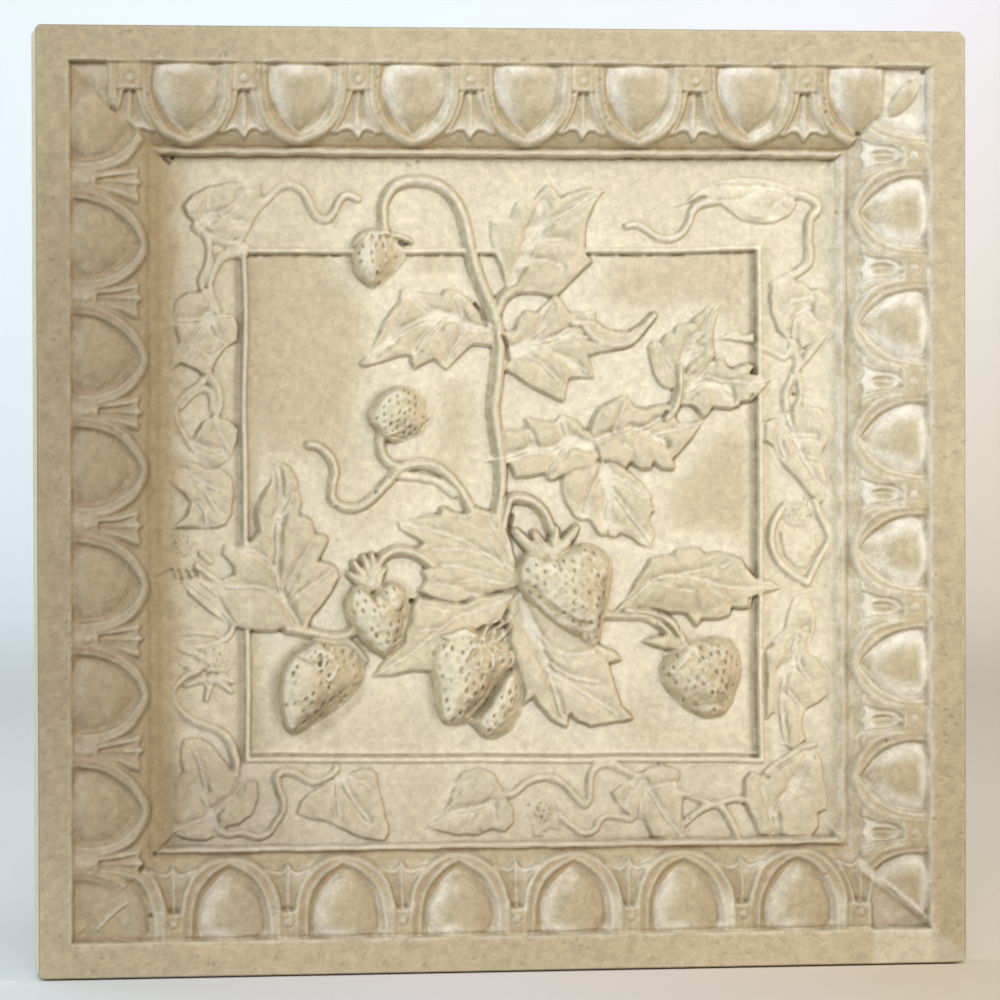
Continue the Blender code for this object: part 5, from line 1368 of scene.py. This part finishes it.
# the face's border, once round
loop = [(j, 0) for j in range(CELLS, 0, -1)]
loop += [(0, i) for i in range(CELLS)]
loop += [(j, CELLS) for j in range(CELLS)]
loop += [(CELLS, i) for i in range(CELLS, 0, -1)]
bm = bmesh.new()
ring = [bm.verts.new(place[j, i]) for j, i in loop]
edges = [bm.edges.new((ring[k - 1], ring[k])) for k in range(len(ring))]
last_draft = 1.0
for depth in DEPTHS:
    made = bmesh.ops.extrude_edge_only(bm, edges=edges)["geom"]
    edges = [item for item in made if isinstance(item, bmesh.types.BMEdge) and item.is_boundary]
    draft = 1 - DRAFT * (DRAFT_FROM - depth) / (DRAFT_FROM * 0.1525)
    for vert in (item for item in made if isinstance(item, bmesh.types.BMVert)):
        vert.co = (vert.co.x / last_draft * draft, -depth, vert.co.z / last_draft * draft)
    last_draft = draft
bmesh.ops.contextual_create(bm, geom=edges)
bmesh.ops.recalc_face_normals(bm, faces=bm.faces[:])
mesh = bpy.data.meshes.new("sides_and_back")
bm.to_mesh(mesh)
bm.free()
back = bpy.data.objects.new("sides_and_back", mesh)
bpy.context.collection.objects.link(back)
mesh.polygons.foreach_set("use_smooth", np.ones(len(mesh.polygons), bool))
mesh.set_sharp_from_angle(angle=0.7)
pieces.append(back)


# ---------------------------------------------------------------------------
# Cast stone: white cement with fine sand and a little ochre, unsealed and dry. It is bloomed white
# where water dried, rubbed pale on the crests, and holds brown grime in the hollows. Painted light
# and shade are laid over it too.
def linear(red, green, blue):
    """A colour given in everyday steps of 0 to 255."""
    return tuple(((c / 255 + 0.055) / 1.055) ** 2.4 for c in (red, green, blue)) + (1.0,)


# the casting where it is clean, weathered, bloomed (also used as painted highlight), and handled on the rim
CREAM = linear(227, 217, 188)
TAN = linear(206, 191, 159)
BLOOM_AND_HIGHLIGHT = linear(238, 231, 210)
RIM = linear(197, 182, 149)
# stains and dust, and painted shade: grime and shade in the folds, olive and buff shade on walls by the way
# they face
OCHRE = linear(181, 157, 114)
DIRT_AND_SHADE = linear(104, 86, 58)
OLIVE_SHADE = linear(146, 133, 99)
BROWN = linear(172, 152, 118)
BUFF_SHADE = linear(205, 186, 152)
# two tones on the leaves, the berries' painted lit side, bare cement and a painted highlight, and painted
# shade
GREENISH = linear(209, 200, 168)
PINKISH = linear(217, 202, 172)
LIT = linear(222, 213, 181)
WHITE = linear(238, 232, 214)
SHADE = linear(206, 200, 198)
stone = bpy.data.materials.new("cast_stone")
stone.use_nodes = True
tree = stone.node_tree
shader = tree.nodes["Principled BSDF"]
shader.inputs["Roughness"].default_value = 0.82
shader.inputs["Specular IOR Level"].default_value = 0.22


def add(kind, links=(), **values):
    """A new node; values set its properties, links join its inputs or set their values."""
    made = tree.nodes.new(kind)
    for name, value in values.items():
        setattr(made, name, value)
    for socket, value in links:
        if isinstance(value, bpy.types.NodeSocket):
            tree.links.new(value, made.inputs[socket])
        else:
            made.inputs[socket].default_value = value
    return made


def mixed(factor, low, high, blend="MIX"):
    """One colour laid over another by a factor."""
    made = add("ShaderNodeMix", [(0, factor), (6, low), (7, high)], data_type="RGBA", blend_type=blend)
    return made.outputs[2]


def times_colour(colour, tint):
    """A colour dulled or lifted by another."""
    return mixed(1.0, colour, tint, "MULTIPLY")


def noise(scale, detail, rough=0.6):
    """Mottling through the solid stone; a larger scale is finer."""
    inputs = [("Vector", where), ("Scale", scale), ("Detail", detail), ("Roughness", rough)]
    return add("ShaderNodeTexNoise", inputs).outputs["Fac"]


def between(value, low, high, out_low=0.0, out_high=1.0):
    """A value stretched from one range to another."""
    ends = [("From Min", low), ("From Max", high), ("To Min", out_low), ("To Max", out_high)]
    return add("ShaderNodeMapRange", [("Value", value)] + ends).outputs["Result"]


def times(a, b):
    """The product of two values."""
    return add("ShaderNodeMath", [(0, a), (1, b)], operation="MULTIPLY").outputs[0]


def mask(name):
    """One of the wear, dirt and painted light and shade tables of the face; 0 on the sides and back."""
    return add("ShaderNodeAttribute", attribute_name=name).outputs["Fac"]


# clean stone first, then bloom, stains and painted light and shade on faces by the way they turn, then
# grime and painted shade in the folds, and last painted shade and light over whole sides
where = add("ShaderNodeTexCoord").outputs["Object"]
broad = noise(40, 4)
patchy = noise(120, 4)
speckle = noise(380, 6, 0.7)
fleck = noise(230, 5, 0.65)
leaf_colour = mixed(between(broad, 0.4, 0.6), GREENISH, PINKISH)
colour = mixed(mask("leafy"), CREAM, leaf_colour)
colour = mixed(times(mask("open"), between(broad, 0.2, 0.6, 0.75, 1.0)), colour, TAN)
colour = mixed(times(mask("bloom_and_painted_light"), between(patchy, 0.2, 0.6, 0.75, 1.0)), colour, BLOOM_AND_HIGHLIGHT)
colour = mixed(mask("rim"), colour, RIM)
# painted highlight on the border's faces turned towards the light
colour = mixed(times(times(mask("bloom_and_painted_light"), mask("rim")), between(patchy, 0.35, 0.6)), colour, BLOOM_AND_HIGHLIGHT)
colour = mixed(times(mask("white"), between(patchy, 0.3, 0.6, 0.6, 0.95)), colour, WHITE)
colour = mixed(mask("ochre"), colour, OCHRE)
# painted shade on faces turned from the light, with grime in the channel
colour = mixed(times(mask("dust_and_painted_shade"), between(patchy, 0.35, 0.6, 0.2, 0.85)), colour, OCHRE)
# painted light on the berries' lit sides
colour = mixed(times(mask("lit"), 0.7), colour, LIT)
# painted warm shade on walls that face right
colour = mixed(times(mask("painted_warm_light"), 0.6), colour, BUFF_SHADE)
colour = mixed(times(mask("brown"), 0.6), colour, BROWN)
# painted cool shade on walls that face left, up or down
colour = mixed(times(mask("steep"), between(fleck, 0.35, 0.6, 0.4, 0.8)), colour, OLIVE_SHADE)
colour = mixed(times(mask("pale"), 0.5), colour, BLOOM_AND_HIGHLIGHT)
colour = mixed(times(mask("crest"), between(fleck, 0.3, 0.6, 0.85, 0.4)), colour, BLOOM_AND_HIGHLIGHT)
# grime and painted shade in the folds
grimy = times(mask("folds_grime_and_shade"), between(fleck, 0.35, 0.62, 0.35, 1.0))
colour = mixed(grimy, colour, DIRT_AND_SHADE)
colour = mixed(mask("pitted"), colour, DIRT_AND_SHADE)
colour = times_colour(colour, between(speckle, 0.3, 0.7, 0.84, 1.13))
colour = times_colour(colour, between(fleck, 0.3, 0.7, 0.9, 1.08))
# painted shade over the left side, the foot and the berries' turned-away sides
colour = mixed(mask("shade"), colour, times_colour(colour, SHADE))
# painted light: brighter towards the upper right, and a brighter patch under the leaves
colour = mixed(mask("light"), colour, times_colour(colour, (1.03, 1.05, 1.1, 1.0)))
tree.links.new(colour, shader.inputs["Base Color"])
grain = add("ShaderNodeBump", [("Height", noise(600, 5, 0.65)), ("Strength", 0.6), ("Distance", 0.0006)])
tree.links.new(grain.outputs["Normal"], shader.inputs["Normal"])
for piece in pieces:
    piece.data.materials.append(stone)
    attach(piece, "root")
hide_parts("tile")


# ---------------------------------------------------------------------------
# The camera, a little to the left of the middle and almost level with it.
camera_data = bpy.data.cameras.new("camera")
camera_data.sensor_width = 36
camera_data.lens = 203.148
camera_data.clip_end = 50
camera = bpy.data.objects.new("camera", camera_data)
bpy.context.collection.objects.link(camera)
camera.location = (-0.2946, -1.825, 0.0335)
# turned to the right and a little down, with a slight roll, from looking straight at the tile
turn = Matrix.Identity(3)
for degrees, axis in ((-9.23, "Z"), (-1.05, "X"), (0.14, "Y"), (90, "X")):
    turn = turn @ Matrix.Rotation(math.radians(degrees), 3, axis)
camera.rotation_euler = turn.to_euler()
bpy.context.scene.camera = camera


# ---------------------------------------------------------------------------
# The stand: a roll of pale paper that lies under the tile and sweeps up behind it.
PAPER_Z = -0.1530  # just under the tile's lower edge
BEND = 1.4  # radius of the sweep
BEND_START = 2.6
profile = [(-4.0, 0.0), (BEND_START, 0.0)]
for k in range(1, 25):
    turned = k * math.pi / 48
    profile.append((BEND_START + BEND * math.sin(turned), BEND - BEND * math.cos(turned)))
profile.append((BEND_START + BEND, 5.0))
bm = bmesh.new()
edge = bm.edges.new([bm.verts.new((x, profile[0][0], PAPER_Z)) for x in (6.0, -6.0)])
for y, z in profile[1:]:
    made = bmesh.ops.extrude_edge_only(bm, edges=[edge])["geom"]
    verts = [item for item in made if isinstance(item, bmesh.types.BMVert)]
    for vert in verts:
        vert.co.y = y
        vert.co.z = z + PAPER_Z
    edge = next(item for item in verts[0].link_edges if item.other_vert(verts[0]) is verts[1])
floor_mesh = bpy.data.meshes.new("sweep")
bm.to_mesh(floor_mesh)
bm.free()
floor_mesh.polygons.foreach_set("use_smooth", np.ones(len(floor_mesh.polygons), bool))
floor = bpy.data.objects.new("sweep", floor_mesh)
bpy.context.collection.objects.link(floor)
paper = bpy.data.materials.new("paper")
paper.use_nodes = True
nodes = paper.node_tree.nodes
links = paper.node_tree.links
nodes["Principled BSDF"].inputs["Roughness"].default_value = 0.9
place_node = nodes.new("ShaderNodeTexCoord")
parts_node = nodes.new("ShaderNodeSeparateXYZ")
links.new(place_node.outputs["Object"], parts_node.inputs["Vector"])


def reckon(kind, a, b):
    """Arithmetic on two sockets or numbers of the paper."""
    node = nodes.new("ShaderNodeMath")
    node.operation = kind
    for socket, value in ((0, a), (1, b)):
        if isinstance(value, bpy.types.NodeSocket):
            links.new(value, node.inputs[socket])
        else:
            node.inputs[socket].default_value = value
    return node.outputs[0]


# painted light on the paper: cool at the left, warm at the right, fanning out from a place in front of the
# tile
beside = reckon("ADD", parts_node.outputs["X"], 0.295)
ahead = reckon("ADD", parts_node.outputs["Y"], 1.825)
fan = reckon("DIVIDE", beside, ahead)
# and cooler again as the paper rises, also painted light
rise = reckon("MULTIPLY", reckon("ADD", parts_node.outputs["Z"], 0.1), 0.13)
fan = reckon("SUBTRACT", fan, rise)
tint = nodes.new("ShaderNodeValToRGB")
painted_cool_light, painted_warm_light = tint.color_ramp.elements
painted_cool_light.position = 0.08
painted_cool_light.color = (0.75, 0.81, 0.83, 1)
painted_warm_light.position = 0.25
painted_warm_light.color = (0.735, 0.65, 0.51, 1)
tint.color_ramp.elements.new(0.165).color = (0.80, 0.785, 0.82, 1)
links.new(fan, tint.inputs["Fac"])
links.new(tint.outputs["Color"], nodes["Principled BSDF"].inputs["Base Color"])
floor_mesh.materials.append(paper)


# ---------------------------------------------------------------------------
# Light: soft daylight from a window in front, a cool fill at the left, a warm lamp at the right,
# and two lamps for the paper.
scene = bpy.context.scene
scene.view_settings.view_transform = "Standard"
world = bpy.data.worlds.new("studio")
scene.world = world
world.use_nodes = True
world.node_tree.nodes["Background"].inputs["Color"].default_value = (0.95, 0.97, 1.0, 1)
world.node_tree.nodes["Background"].inputs["Strength"].default_value = 0.26


def lamp(name, kind, place, power, colour, size, aim=(0, 0, 0)):
    """A lamp at a place, turned to its aim; size is the spread of the sun or the side of a panel."""
    data = bpy.data.lights.new(name, kind)
    data.energy = power
    data.color = colour
    if kind == "SUN":
        data.angle = size
    else:
        data.size = size
    item = bpy.data.objects.new(name, data)
    item.location = place
    item.rotation_euler = (Vector(aim) - Vector(place)).to_track_quat("-Z", "Y").to_euler()
    item.visible_camera = False
    bpy.context.collection.objects.link(item)


lamp("window", "SUN", (-0.15, -1.0, 0.5), 1.64, (1.0, 1.005, 1.045), 0.5)
lamp("left", "AREA", (-1.5, -0.45, 0.35), 7, (0.84, 0.95, 1.0), 0.8)
lamp("right", "AREA", (1.15, -0.8, 0.85), 9.6, (1.0, 0.91, 0.8), 0.7)
lamp("wall", "AREA", (0.65, 2.6, 1.8), 11, (0.97, 1.0, 1.07), 1.2, (0.65, 4.0, 1.1))
lamp("floor", "AREA", (-0.35, 0.55, 1.2), 3.2, (0.96, 0.97, 1.0), 0.8, (-0.3, 0.6, -0.15))
